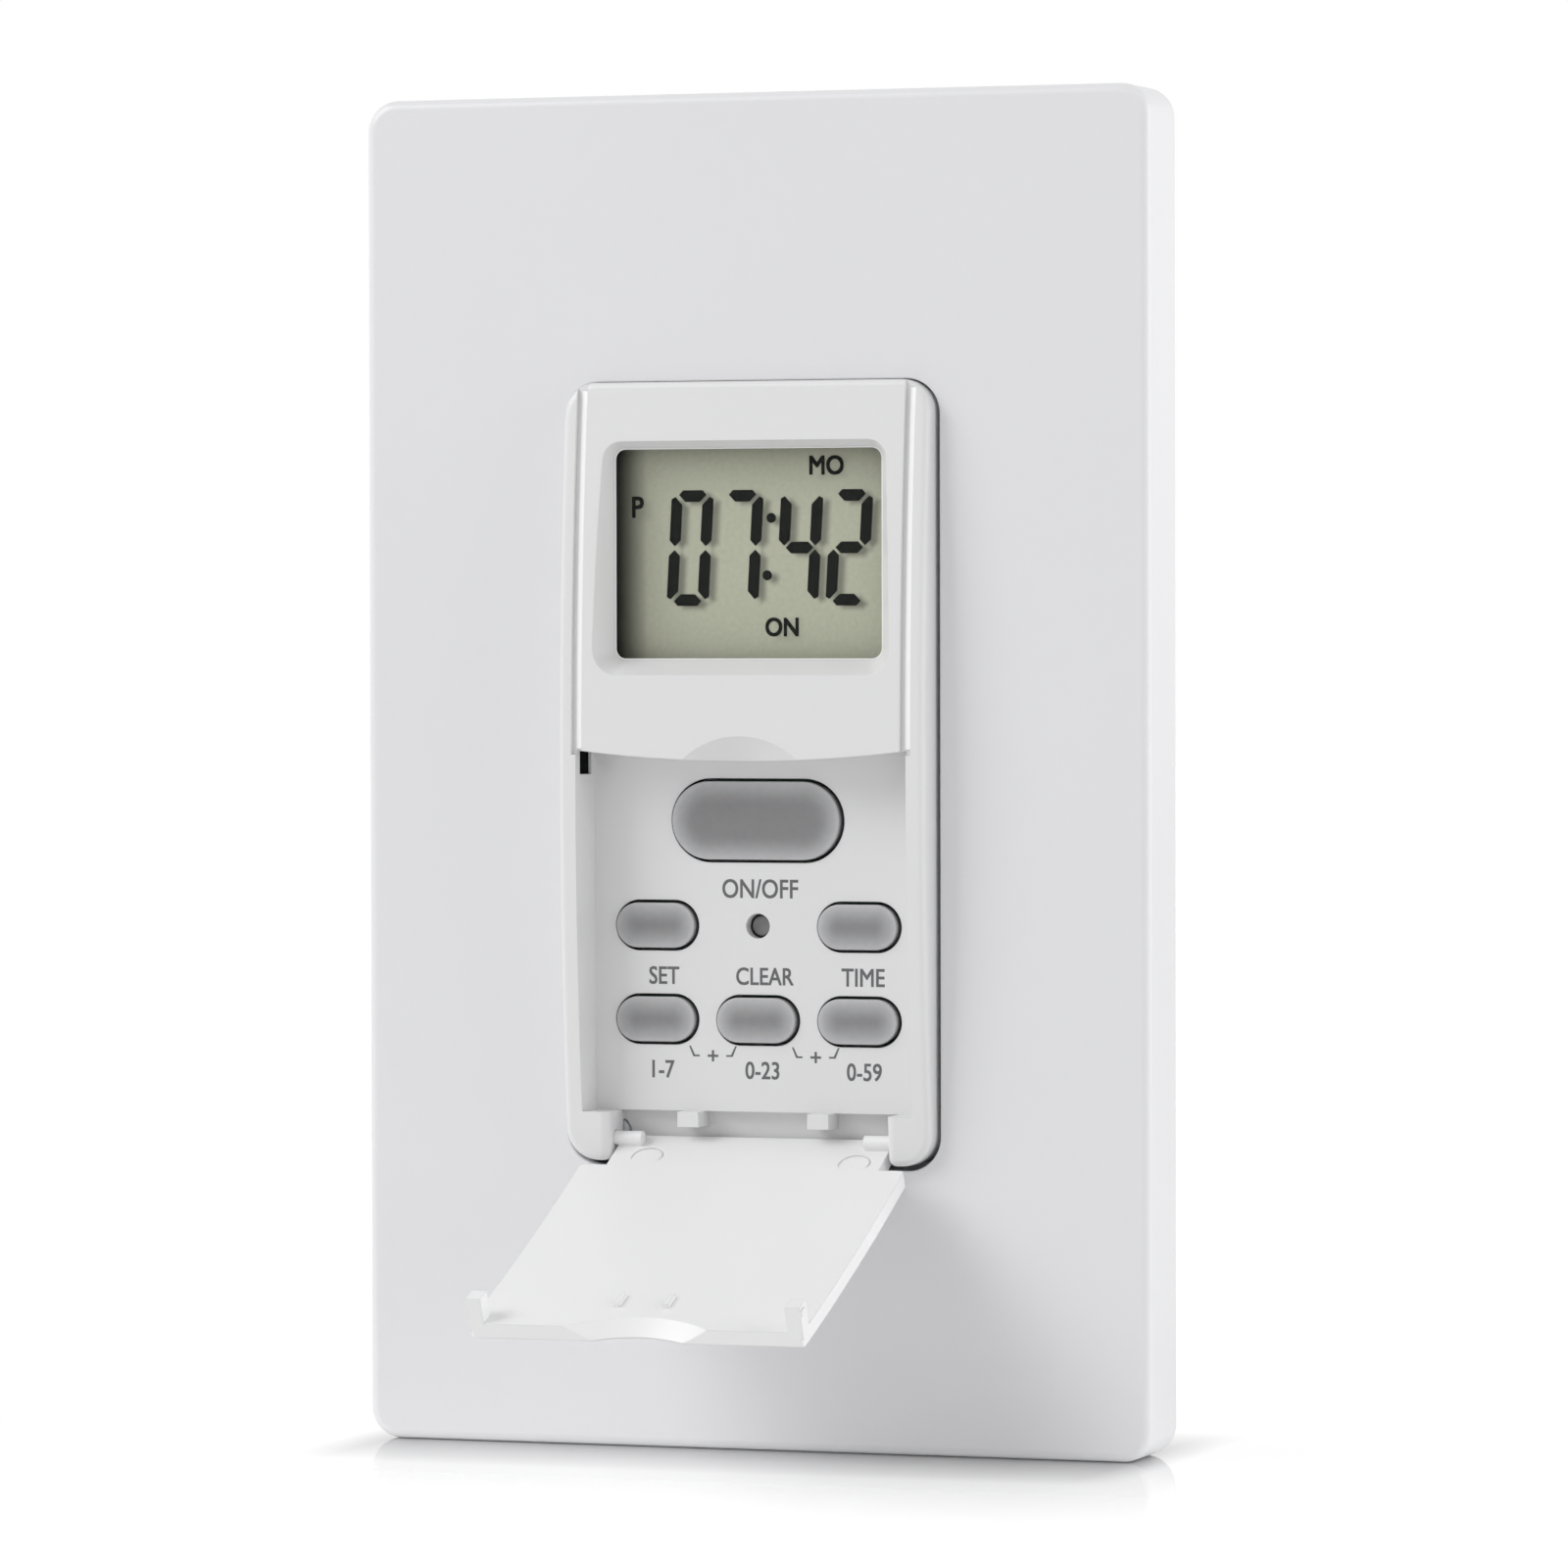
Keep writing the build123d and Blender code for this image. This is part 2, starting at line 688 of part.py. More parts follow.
def make_lid():
    """The keypad lid, drawn closed and then turned open about its pins."""
    free_front_y = bow_y - math.sqrt(bow_r ** 2 - lid_free_z ** 2)
    free_in_y = free_front_y + lid_t
    shell = bow_drum(0, lid_w + overrun) - bow_drum(lid_t, lid_w + 2 * overrun)
    tall = lid_free_z - lid_shoulder_z
    out_y, in_y = cover_front_y - overrun, hinge_y + overrun
    sheet = slab(lid_w, tall, lid_corner_r, out_y, in_y, 0, lid_shoulder_z + tall / 2)
    tab_tall = lid_shoulder_z - lid_tab_end_z + lid_corner_r * 2
    sheet += slab(lid_tab_w, tab_tall, lid_corner_r, out_y, in_y, 0, lid_tab_end_z + tab_tall / 2)
    body = shell & sheet

    thumb_ball_r = (thumb_w / 2) ** 2 / (2 * thumb_depth) + thumb_depth / 2
    reach = (thumb_ball_r - thumb_depth) / math.sqrt(2)
    body -= Pos(0, free_in_y + reach, lid_free_z + reach) * Sphere(thumb_ball_r)

    for sx in signs:
        edge_x = sx * lid_w / 2
        body += block(edge_x - sx * post_w, edge_x, free_in_y - lid_t / 2, free_in_y + post_d,
                      lid_free_z - post_h, lid_free_z)
        tip_y = free_in_y + post_d
        bump = prism(Rectangle(bump_out * 2, bump_h), tip_y - bump_d, tip_y - bump_d / 3, edge_x,
                     lid_free_z - bump_h / 2)
        body += bump
        body += rod_x(pin_r, sx * pin_in_x, sx * pin_out_x, hinge_y, hinge_z)
        body += block(sx * pin_in_x, sx * lid_tab_w / 2, hinge_y - pin_r - lid_t / 2, hinge_y,
                      hinge_z - pin_web_w / 2, hinge_z + pin_web_w / 2)
    rib_y = bow_y - math.sqrt((bow_r - lid_t) ** 2 - lid_rib_z ** 2)
    for x in lid_rib_xs:
        body += block(x - lid_rib_w / 2, x + lid_rib_w / 2, rib_y - lid_t / 2, rib_y + lid_rib_d,
                      lid_rib_z - lid_rib_h / 2, lid_rib_z + lid_rib_h / 2)
    for x, z in ejector_spots:
        mark_y = bow_y - math.sqrt((bow_r - lid_t) ** 2 - z ** 2)
        body -= (rod_y(ejector_r, mark_y - ejector_d, hinge_y, x, z)
                 - rod_y(ejector_r - ejector_line, mark_y - lid_t, hinge_y, x, z))
    hinge = Axis((0, hinge_y, hinge_z), (1, 0, 0))
    return body.rotate(hinge, lid_open_deg)


def make_key(x, z, w, h):
    """A crowned silicone key with the stem that carries its contact."""
    body = pill_slab(w, h, key_front_y, key_back_y, x, z)
    body = fillet(edges_at_y(body, key_front_y), key_crown_r)
    inset = 2 * key_stem_inset
    return body + pill_slab(w - inset, h - inset, key_back_y, pill_front_y, x, z)


def make_key_pill(x, z, w, h):
    """The conductive pill under a key."""
    inset = 2 * (key_stem_inset + pill_inset)
    return pill_slab(w - inset, h - inset, pill_front_y, pill_back_y, x, z)


def make_key_web(x, z, w, h):
    """The thin membrane that springs a key back."""
    grow = 2 * (mat_hole_gap + web_seat)
    shrink = 2 * web_hold
    return (pill_slab(w + grow, h + grow, key_back_y, web_back_y, x, z)
            - pill_slab(w - shrink, h - shrink, key_back_y - overrun, web_back_y + overrun, x, z))


def make_keypad_mat():
    """The silicone sheet that lies on the board and seats the webs."""
    tall = mat_top_z - mat_bottom_z
    body = slab(mat_w, tall, strap_r, mat_front_y, board_front_y, 0, mat_bottom_z + tall / 2)
    rim = 2 * (mat_hole_gap + mat_rim_w)
    for x, z, w, h in keys.values():
        body += pill_slab(w + rim, h + rim, web_back_y, board_front_y, x, z)
    for x, z, w, h in keys.values():
        body -= pill_slab(w + 2 * mat_hole_gap, h + 2 * mat_hole_gap, key_back_y, 0, x, z)
    gap = 2 * reset_mat_gap
    body -= block(-(reset_body_w + gap) / 2, (reset_body_w + gap) / 2, floor_back_y, 0,
                  upper_row_z - (reset_body_h + gap) / 2, upper_row_z + (reset_body_h + gap) / 2)
    return body


def make_reset_switch():
    """The small switch body behind the pinhole."""
    front_y = board_front_y - reset_body_t
    body = slab(reset_body_w, reset_body_h, lid_corner_r, front_y, board_front_y, 0, upper_row_z)
    bore_y = front_y + reset_plunger_in + reset_travel + slip_gap
    return body - rod_y(reset_plunger_r + fit_gap, front_y - overrun, bore_y, 0, upper_row_z)


def make_reset_plunger():
    """The plunger that a pin pushes through the reset hole."""
    front_y = board_front_y - reset_body_t
    body = rod_y(reset_plunger_r, front_y - reset_plunger_out, front_y + reset_plunger_in, 0, upper_row_z)
    return fillet(edges_at_y(body, front_y - reset_plunger_out), reset_plunger_out / 3)


def make_display_window():
    """The clear lens, stepped so that it fills the aperture and is glued behind it."""
    lip = 2 * lens_lip
    body = slab(window_w + lip, window_h + lip, window_r, upper_cavity_y, lens_back_y, 0, window_z)
    w, h = window_w - 2 * slip_gap, window_h - 2 * slip_gap
    return body + slab(w, h, window_r - slip_gap, lens_front_y, upper_cavity_y, 0, window_z)


def make_lcd_front_glass():
    """The front pane of the liquid crystal cell."""
    return block(-lcd_w / 2, lcd_w / 2, lcd_front_y, lcd_mid_y, lcd_top_z - lcd_front_h, lcd_top_z)


def make_lcd_rear_glass():
    """The rear pane, longer at the bottom where its contacts are."""
    return block(-lcd_w / 2, lcd_w / 2, lcd_mid_y, lcd_back_y, lcd_top_z - lcd_rear_h, lcd_top_z)


def make_lcd_reflector():
    """The reflecting film behind the cell."""
    half = lcd_w / 2 - reflector_inset
    return block(-half, half, lcd_back_y, reflector_back_y,
                 lcd_top_z - lcd_front_h + reflector_inset, lcd_top_z - reflector_inset)


def make_lcd_holder():
    """The tray that holds the cell against the lens and stands on the board."""
    half = lcd_w / 2 + slip_gap
    low, high = lcd_top_z - lcd_rear_h - slip_gap, lcd_top_z + slip_gap
    body = block(-half - holder_wall, half + holder_wall, lcd_front_y, board_front_y,
                 low - holder_wall, high + holder_wall / 3)
    body -= block(-half, half, lcd_front_y - overrun, reflector_back_y, low, high)
    body -= block(-half, half, reflector_back_y + holder_floor_t, board_front_y + overrun, low, high)
    strip_z = lcd_top_z - lcd_rear_h + strip_from_edge + strip_h / 2
    strip_half = lcd_w / 2 - strip_inset + slip_gap
    body -= block(-strip_half, strip_half, lcd_front_y, board_front_y,
                  strip_z - strip_h / 2 - slip_gap, strip_z + strip_h / 2 + slip_gap)
    hole_x, hole_z = board_holes[0]
    y0, y1 = lcd_front_y - overrun, board_front_y + overrun
    for sx in signs:
        body -= rod_y(board_boss_r + slip_gap, y0, y1, sx * hole_x, hole_z)
        body -= rod_y(corner_boss_r + slip_gap, y0, y1, sx * corner_boss_x, corner_boss_z)
    return body


def make_contact_strip():
    """The striped rubber connector between the cell and the board."""
    strip_z = lcd_top_z - lcd_rear_h + strip_from_edge + strip_h / 2
    half = lcd_w / 2 - strip_inset
    return block(-half, half, lcd_back_y, board_front_y, strip_z - strip_h / 2, strip_z + strip_h / 2)


def make_control_board():
    """The board behind the keypad and the display."""
    body = block(-board_w / 2, board_w / 2, board_front_y, board_back_y, -board_h / 2, board_h / 2)
    for sx, sz in corners:
        body -= block(sx * board_notch_x, sx * board_w, board_front_y - overrun, board_back_y + overrun,
                      sz * board_notch_z, sz * board_h)
    for x, z in board_holes:
        for sx in signs:
            body -= rod_y(board_screw_r + slip_gap, board_front_y - overrun, board_back_y + overrun,
                          sx * x, z)
    return body


def make_control_board_screws():
    """Four small screws from the back of the board into the cover."""
    length = board_t + board_screw_l - slip_gap
    return group([slotted_screw(sx * x, z, board_back_y, 1, board_head_r, board_head_h, board_screw_r, length)
                  for x, z in board_holes for sx in signs])


def make_microcontroller():
    """The chip and its legs, soldered to the back of the board."""
    y0, y1 = board_back_y, board_back_y + 2 * chip_leg_t
    half, half_leg = chip_w / 2, chip_leg_w / 2
    body = slab(chip_w, chip_w, chip_corner_r, y0 + chip_leg_t, y0 + chip_t, chip_x, chip_z)
    row_l = chip_w - 2 * chip_leg_margin
    for n in range(chip_legs):
        along = row_l * n / (chip_legs - 1) - row_l / 2
        x, z = chip_x + along, chip_z + along
        for s in signs:
            side_x, side_z = chip_x + s * half, chip_z + s * half
            body += block(side_x - chip_leg_l, side_x + chip_leg_l, y0, y1, z - half_leg, z + half_leg)
            body += block(x - half_leg, x + half_leg, y0, y1, side_z - chip_leg_l, side_z + chip_leg_l)
    return body


def make_clock_crystal():
    """The watch crystal's can, lying on the board."""
    can = Pos(crystal_x, board_back_y + crystal_r, crystal_z) * Cylinder(crystal_r, crystal_l)
    return can - block(crystal_x - crystal_r, crystal_x + crystal_r, board_front_y, board_back_y,
                       crystal_z - crystal_l, crystal_z + crystal_l)


def make_battery_holder():
    """The base and the clip that hold the backup cell."""
    base_back_y = board_back_y + cell_base_t
    low_z, high_z = cell_z - cell_base_h / 2, cell_z + cell_base_h / 2
    base = block(-cell_base_w / 2, cell_base_w / 2, board_back_y, base_back_y, low_z, high_z)
    clip_y = base_back_y + cell_t
    half = cell_clip_w / 2
    clip = block(-half, half, clip_y, clip_y + cell_clip_t, low_z, high_z)
    for sz in signs:
        foot_z = cell_z + sz * cell_base_h / 2
        clip += block(-half, half, base_back_y, clip_y + cell_clip_t, foot_z - sz * cell_clip_t, foot_z)
    return base + clip


def make_backup_battery():
    """The coin cell that keeps the clock running."""
    base_back_y = board_back_y + cell_base_t
    body = rod_y(cell_r, base_back_y, base_back_y + cell_t, 0, cell_z)
    return body - (rod_y(cell_r, base_back_y, base_back_y + cell_t / 4, 0, cell_z)
                   - rod_y(cell_r - cell_base_t, base_back_y - overrun, base_back_y + cell_t, 0, cell_z))


def make_board_link():
    """The row of pins that joins the two boards, with its two insulators."""
    half = link_w / 2
    low_z, high_z = link_z - link_block_h / 2, link_z + link_block_h / 2
    body = block(-half, half, board_back_y, board_back_y + link_block_t, low_z, high_z)
    body += block(-half, half, power_front_y - link_block_t, power_front_y, low_z, high_z)
    for n in range(link_pins):
        x = (n - (link_pins - 1) / 2) * link_w / link_pins
        body += block(x - link_pin_w / 2, x + link_pin_w / 2, board_back_y, power_front_y,
                      link_z - link_pin_w / 2, link_z + link_pin_w / 2)
    return body


def make_rear_housing():
    """The box behind the strap, with its screw columns and side terminal pockets."""
    outer = slab(housing_w, housing_h, housing_r, 0, housing_d)
    body = outer - slab(housing_w - 2 * housing_wall, housing_h - 2 * housing_wall, housing_r - housing_wall,
                        -overrun, housing_floor_y)
    for sx, sz in corners:
        body += rod_y(column_r, 0, housing_floor_y, sx * corner_boss_x, sz * corner_boss_z) & outer
    for sx, sz in corners:
        body -= rod_y(column_bore_r, -overrun, housing_floor_y, sx * corner_boss_x, sz * corner_boss_z)
        body -= rod_y(recess_r, housing_floor_y, housing_d + overrun, sx * corner_boss_x, sz * corner_boss_z)
    for sx, sz in corners:
        x_out, x_in = sx * housing_w / 2, sx * (housing_w / 2 - terminal_pocket_d)
        z0, z1 = sz * terminal_z - terminal_pocket_h / 2, sz * terminal_z + terminal_pocket_h / 2
        body += block(x_in - sx * terminal_wall, x_out - sx * housing_wall / 2,
                      terminal_pocket_y0 - terminal_wall, terminal_pocket_y1 + terminal_wall,
                      z0 - terminal_wall, z1 + terminal_wall)
        body -= block(x_in, x_out + sx * overrun, terminal_pocket_y0, terminal_pocket_y1, z0, z1)
        body -= rod_x(terminal_screw_r + fit_gap, x_in + sx * overrun, x_in - sx * 2 * terminal_wall,
                      terminal_mid_y, sz * terminal_z)
        leg_z, leg_half = sz * terminal_z, terminal_leg_w / 2 + slip_gap
        body -= block(x_in, x_in + sx * (terminal_leg_t + slip_gap), terminal_pocket_y1 - overrun,
                      terminal_pocket_y1 + 2 * terminal_wall, leg_z - leg_half, leg_z + leg_half)
    rest_y = housing_floor_y + fit_gap
    bore_y = power_back_y + power_screw_l - power_t + slip_gap
    for sx in signs:
        rib_x, post_x = sx * power_rib_x, sx * power_screw_x
        body += block(rib_x - power_rib_w / 2, rib_x + power_rib_w / 2, power_back_y, rest_y,
                      -power_h / 3, power_h / 3)
        body += rod_y(power_post_r, power_back_y, rest_y, post_x, power_screw_z)
        body -= rod_y(power_screw_r + fit_gap, power_back_y - overrun, bore_y, post_x, power_screw_z)
    vent_y0, vent_y1 = (housing_d - vent_l) / 2, (housing_d + vent_l) / 2
    for sz in signs:
        z0, z1 = sz * (housing_h / 2 - 2 * housing_wall), sz * (housing_h / 2 + overrun)
        for n in range(vents):
            x = (n - (vents - 1) / 2) * vent_pitch
            body -= block(x - vent_w / 2, x + vent_w / 2, vent_y0, vent_y1, z0, z1)
    return body


def make_terminal_plates():
    """Four brass plates with legs to the power board."""
    plates = []
    for sx, sz in corners:
        x_in = sx * (housing_w / 2 - terminal_pocket_d)
        z = sz * terminal_z
        half = terminal_pocket_h / 2 - terminal_plate_gap
        y0, y1 = terminal_pocket_y0 + terminal_plate_gap, terminal_pocket_y1 - terminal_plate_gap
        plate = block(x_in, x_in + sx * terminal_plate_t, y0, y1, z - half, z + half)
        plate += block(x_in, x_in + sx * terminal_leg_t, y1 - overrun, power_front_y,
                       z - terminal_leg_w / 2, z + terminal_leg_w / 2)
        plate -= rod_x(terminal_screw_r + fit_gap, x_in - sx * overrun, x_in + sx * 2 * terminal_plate_t,
                       terminal_mid_y, z)
        plates.append(plate)
    return group(plates)


def make_terminal_screws():
    """Four side wiring screws."""
    screws = []
    y, r, half_slot = terminal_mid_y, terminal_head_r, driver_slot_w / 2
    for sx, sz in corners:
        seat_x = sx * (housing_w / 2 - terminal_pocket_d + terminal_plate_t)
        top_x = seat_x + sx * terminal_head_h
        x0, x1, z = top_x - sx * driver_slot_d, top_x + sx * overrun, sz * terminal_z
        screw = rod_x(r, seat_x, top_x, y, z)
        screw -= block(x0, x1, y - half_slot, y + half_slot, z - r, z + r)
        screw -= block(x0, x1, y - r, y + r, z - half_slot, z + half_slot)
        screw += rod_x(terminal_screw_r, seat_x, seat_x - sx * terminal_screw_l, y, z)
        screws.append(screw)
    return group(screws)


def make_housing_screws():
    """Four long screws from the back of the housing into the cover."""
    length = housing_floor_y - cover_back_y + long_screw_depth
    return group([slotted_screw(sx * corner_boss_x, sz * corner_boss_z, housing_floor_y, 1, long_head_r,
                                long_head_h, long_screw_r, length) for sx, sz in corners])


def make_power_board():
    """The mains board at the back of the housing."""
    body = block(-power_w / 2, power_w / 2, power_front_y, power_back_y, -power_h / 2, power_h / 2)
    for sx in signs:
        body -= rod_y(power_screw_r + slip_gap, power_front_y - overrun, power_back_y + overrun,
                      sx * power_screw_x, power_screw_z)
    return body


def make_power_board_screws():
    """Two screws that hold the power board to its posts."""
    return group([slotted_screw(sx * power_screw_x, power_screw_z, power_front_y, -1, power_head_r,
                                power_head_h, power_screw_r, power_screw_l) for sx in signs])


def make_relay_base():
    """The relay's base, soldered to the power board."""
    return block(relay_left + relay_wall, relay_right - relay_wall, relay_base_y, power_front_y,
                 relay_low + relay_wall, relay_high - relay_wall)


def make_relay_cover():
    """The relay's dust cover."""
    body = block(relay_left, relay_right, relay_front, power_front_y, relay_low, relay_high)
    return body - block(relay_left + relay_wall, relay_right - relay_wall, relay_front + relay_wall,
                        power_front_y + overrun, relay_low + relay_wall, relay_high - relay_wall)


def make_relay_bobbin():
    """The spool on the core."""
    body = rod_y(core_r + 2 * contact_arm_t, coil_y0, coil_y1, coil_x, coil_z)
    body += rod_y(bobbin_r, coil_y0, coil_y0 + bobbin_flange_t, coil_x, coil_z)
    body += rod_y(bobbin_r, coil_y1 - bobbin_flange_t, coil_y1, coil_x, coil_z)
    return body - rod_y(core_r + fit_gap, coil_y0 - overrun, coil_y1 + overrun, coil_x, coil_z)


def make_relay_coil():
    """The winding, as the space that its turns fill."""
    y0, y1 = coil_y0 + bobbin_flange_t, coil_y1 - bobbin_flange_t
    return (rod_y(coil_r, y0, y1, coil_x, coil_z)
            - rod_y(core_r + 2 * contact_arm_t, y0 - overrun, y1 + overrun, coil_x, coil_z))


def make_relay_yoke():
    """The bent iron yoke and the core riveted into it."""
    left, right = coil_x - yoke_w / 2, coil_x + yoke_w / 2
    body = block(left, right, coil_y1, relay_base_y, coil_z - core_r, yoke_wall_z + yoke_t)
    body += block(left, right, pivot_y, relay_base_y, yoke_wall_z, yoke_wall_z + yoke_t)
    body += rod_x(yoke_t / 2, left, right, pivot_y, pivot_z)
    return body + rod_y(core_r, core_tip_y, relay_base_y, coil_x, coil_z)


def make_relay_armature():
    """The iron plate that the core pulls, with its contact arm and moving contact."""
    left, right = coil_x - yoke_w / 2, coil_x + yoke_w / 2
    body = block(left, right, armature_y0, armature_y1, coil_z - core_r, yoke_wall_z + yoke_t)
    body += block(right - overrun, arm_end_x + fixed_contact_w / 2, armature_y0, armature_y0 + contact_arm_t,
                  coil_z - contact_r, coil_z + contact_r)
    return body + rod_y(contact_r, armature_y0, armature_y0 + contact_arm_t + contact_t, arm_end_x, coil_z)


def make_relay_fixed_contacts():
    """The fixed contact on its post."""
    front_y = armature_y0 + contact_arm_t + contact_t + contact_travel + contact_slack
    seat_y, half = front_y + contact_t, fixed_contact_w / 2
    body = rod_y(contact_r, front_y, seat_y, arm_end_x, coil_z)
    body += block(arm_end_x - half, arm_end_x + half, seat_y, seat_y + fixed_contact_t,
                  coil_z - half, coil_z + half)
    return body + block(arm_end_x + half - fixed_contact_t, arm_end_x + half, seat_y, relay_base_y,
                        coil_z - relay_pin_w, coil_z + relay_pin_w)


def make_film_capacitor():
    """The boxed film capacitor that feeds the low-voltage side."""
    body = block(film_x - film_w / 2, film_x + film_w / 2, power_front_y - film_d, power_front_y,
                 film_z - film_h / 2, film_z + film_h / 2)
    return fillet(edges_at_y(body, power_front_y - film_d), film_r)


def make_filter_capacitors():
    """Two electrolytic cans with their rolled grooves."""
    cans = []
    front_y = power_front_y - filter_l
    ring_y = power_front_y - filter_l / 5
    for z in filter_zs:
        can = rod_y(filter_r, front_y, power_front_y, filter_x, z)
        can = fillet(edges_at_y(can, front_y), filter_groove)
        ring = rod_y(filter_r + overrun, ring_y - filter_groove, ring_y + filter_groove, filter_x, z)
        waist = rod_y(filter_r - filter_groove, ring_y - overrun, ring_y + overrun, filter_x, z)
        cans.append(can - (ring - waist))
    return group(cans)


def make_varistor():
    """The disc that takes surges, standing on its two leads."""
    y = power_front_y - lead_stand - varistor_r
    body = Pos(varistor_x, y, varistor_z) * Cylinder(varistor_r, varistor_t)
    for sx in signs:
        body += rod_y(lead_r, y, power_front_y, varistor_x + sx * lead_gap, varistor_z)
    return body


def make_diodes():
    """Three rectifier diodes lying on the board."""
    parts = []
    for z in diode_zs:
        y = power_front_y - diode_r
        body = rod_x(diode_r, diode_x - diode_l / 2, diode_x + diode_l / 2, y, z)
        for sx in signs:
            end_x = diode_x + sx * (diode_l / 2 + lead_stand)
            body += rod_x(lead_r, diode_x, end_x, y, z)
            body += rod_y(lead_r, y - lead_r, power_front_y, end_x - sx * lead_r, z)
        parts.append(body)
    return group(parts)


def make_fuse_resistor():
    """The fusible resistor in the mains feed."""
    y = power_front_y - fuse_r
    body = rod_x(fuse_r, fuse_x - fuse_l / 2, fuse_x + fuse_l / 2, y, fuse_z)
    for sx in signs:
        end_x = fuse_x + sx * (fuse_l / 2 + lead_stand)
        body += rod_x(lead_r, fuse_x, end_x, y, fuse_z)
        body += rod_y(lead_r, y - lead_r, power_front_y, end_x - sx * lead_r, fuse_z)
    return body


def make_screws():
    """The screws that hold the switch to the box, the frame to the strap and the ground wire."""
    box_screws = [slotted_screw(0, sz * box_screw_pitch / 2, -strap_t, -1, box_head_r, box_head_h,
                                box_neck_r, strap_t + box_neck_past_strap)
                  + rod_y(box_screw_r, box_neck_past_strap, box_screw_l, 0, sz * box_screw_pitch / 2)
                  for sz in signs]
    web_front_y = -strap_t - frame_web_t
    frame_screws = [slotted_screw(0, sz * frame_screw_pitch / 2, web_front_y, -1, frame_head_r, frame_head_h,
                                  frame_screw_r, frame_screw_l) for sz in signs]
    tab_z = -(strap_mid_h + ground_tab_h) / 2
    ground = slotted_screw(ground_tab_x, tab_z, 0, 1, ground_head_r, ground_head_h, ground_screw_r, strap_t)
    return group(box_screws), group(frame_screws), ground


def make_all():
    """Every sub-part, by the name of its node."""
    box_screws, frame_screws, ground_screw = make_screws()
    nodes = {
        "wall_plate": make_wall_plate(),
        "plate_frame": make_plate_frame(),
        "plate_frame_screws": frame_screws,
        "mounting_strap": make_mounting_strap(),
        "box_screws": box_screws,
        "ground_screw": ground_screw,
        "front_cover": make_front_cover(),
        "lid": make_lid(),
        "display_window": make_display_window(),
        "lcd_front_glass": make_lcd_front_glass(),
        "lcd_rear_glass": make_lcd_rear_glass(),
        "lcd_reflector": make_lcd_reflector(),
        "lcd_holder": make_lcd_holder(),
        "contact_strip": make_contact_strip(),
        "control_board": make_control_board(),
        "control_board_screws": make_control_board_screws(),
        "keypad_mat": make_keypad_mat(),
        "reset_switch": make_reset_switch(),
        "reset_plunger": make_reset_plunger(),
        "microcontroller": make_microcontroller(),
        "clock_crystal": make_clock_crystal(),
        "battery_holder": make_battery_holder(),
        "backup_battery": make_backup_battery(),
        "board_link": make_board_link(),
        "rear_housing": make_rear_housing(),
        "housing_screws": make_housing_screws(),
        "terminal_plates": make_terminal_plates(),
        "terminal_screws": make_terminal_screws(),
        "power_board": make_power_board(),
        "power_board_screws": make_power_board_screws(),
        "relay_base": make_relay_base(),
        "relay_cover": make_relay_cover(),
        "relay_bobbin": make_relay_bobbin(),
        "relay_coil": make_relay_coil(),
        "relay_yoke": make_relay_yoke(),
        "relay_armature": make_relay_armature(),
        "relay_fixed_contacts": make_relay_fixed_contacts(),
        "film_capacitor": make_film_capacitor(),
        "filter_capacitors": make_filter_capacitors(),
        "varistor": make_varistor(),
        "diodes": make_diodes(),
        "fuse_resistor": make_fuse_resistor(),
    }
    for name, place in keys.items():
        nodes[name + "_key"] = make_key(*place)
        nodes[name + "_key_pill"] = make_key_pill(*place)
        nodes[name + "_key_web"] = make_key_web(*place)
    return nodes


os.makedirs("parts", exist_ok=True)
for node, shape in make_all().items():
    export_step(shape, "parts/" + node + ".step")
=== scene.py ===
"""The looks of the timer light switch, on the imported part.

Lengths are in metres, in the part's own frame: X runs right and Z up as seen from the
front, and Y runs back into the wall.
"""
import math

import bmesh
import bpy
import numpy as np
from bpy.props import FloatProperty, FloatVectorProperty, PointerProperty, StringProperty
from mathutils import Matrix, Vector
from mathutils.bvhtree import BVHTree


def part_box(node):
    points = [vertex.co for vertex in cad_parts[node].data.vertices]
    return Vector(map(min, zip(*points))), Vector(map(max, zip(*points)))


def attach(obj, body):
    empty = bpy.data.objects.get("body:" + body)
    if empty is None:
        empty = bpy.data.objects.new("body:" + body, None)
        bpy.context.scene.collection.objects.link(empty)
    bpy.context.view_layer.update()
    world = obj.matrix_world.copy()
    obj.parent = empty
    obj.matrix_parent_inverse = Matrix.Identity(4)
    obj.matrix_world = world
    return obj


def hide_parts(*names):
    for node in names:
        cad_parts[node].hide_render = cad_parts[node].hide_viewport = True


bl_info = {
    "name": "Timer light switch",
    "version": (1, 0, 0),
    "blender": (4, 5, 0),
    "location": "3D View > Sidebar > Timer switch",
    "description": "Dresses the timer light switch and sets up its stage",
    "category": "Object",
}

MM = 0.001
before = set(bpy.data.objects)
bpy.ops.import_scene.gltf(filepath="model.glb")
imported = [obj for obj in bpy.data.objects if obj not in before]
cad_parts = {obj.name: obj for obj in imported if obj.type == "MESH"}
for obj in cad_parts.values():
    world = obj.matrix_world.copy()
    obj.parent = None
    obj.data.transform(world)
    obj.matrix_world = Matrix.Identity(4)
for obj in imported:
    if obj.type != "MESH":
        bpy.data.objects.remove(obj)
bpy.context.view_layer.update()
KEYS = ("manual", "prog", "clock", "day", "hour", "minute")

# The two long grooves of the front: how far they lie from its middle, their width and their depth
GROOVE_X, GROOVE_W, GROOVE_D = 14.6 * MM, 0.9 * MM, 0.35 * MM


def span(node):
    """A node's lowest and highest corner as arrays."""
    low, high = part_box(node)
    return np.array(low), np.array(high)


def front_size(node):
    """Half a node's width, half its height and its middle (x, z), seen from the front."""
    low, high = span(node)
    half, middle = (high - low) / 2, (high + low) / 2
    return half[0], half[2], (middle[0], middle[2])


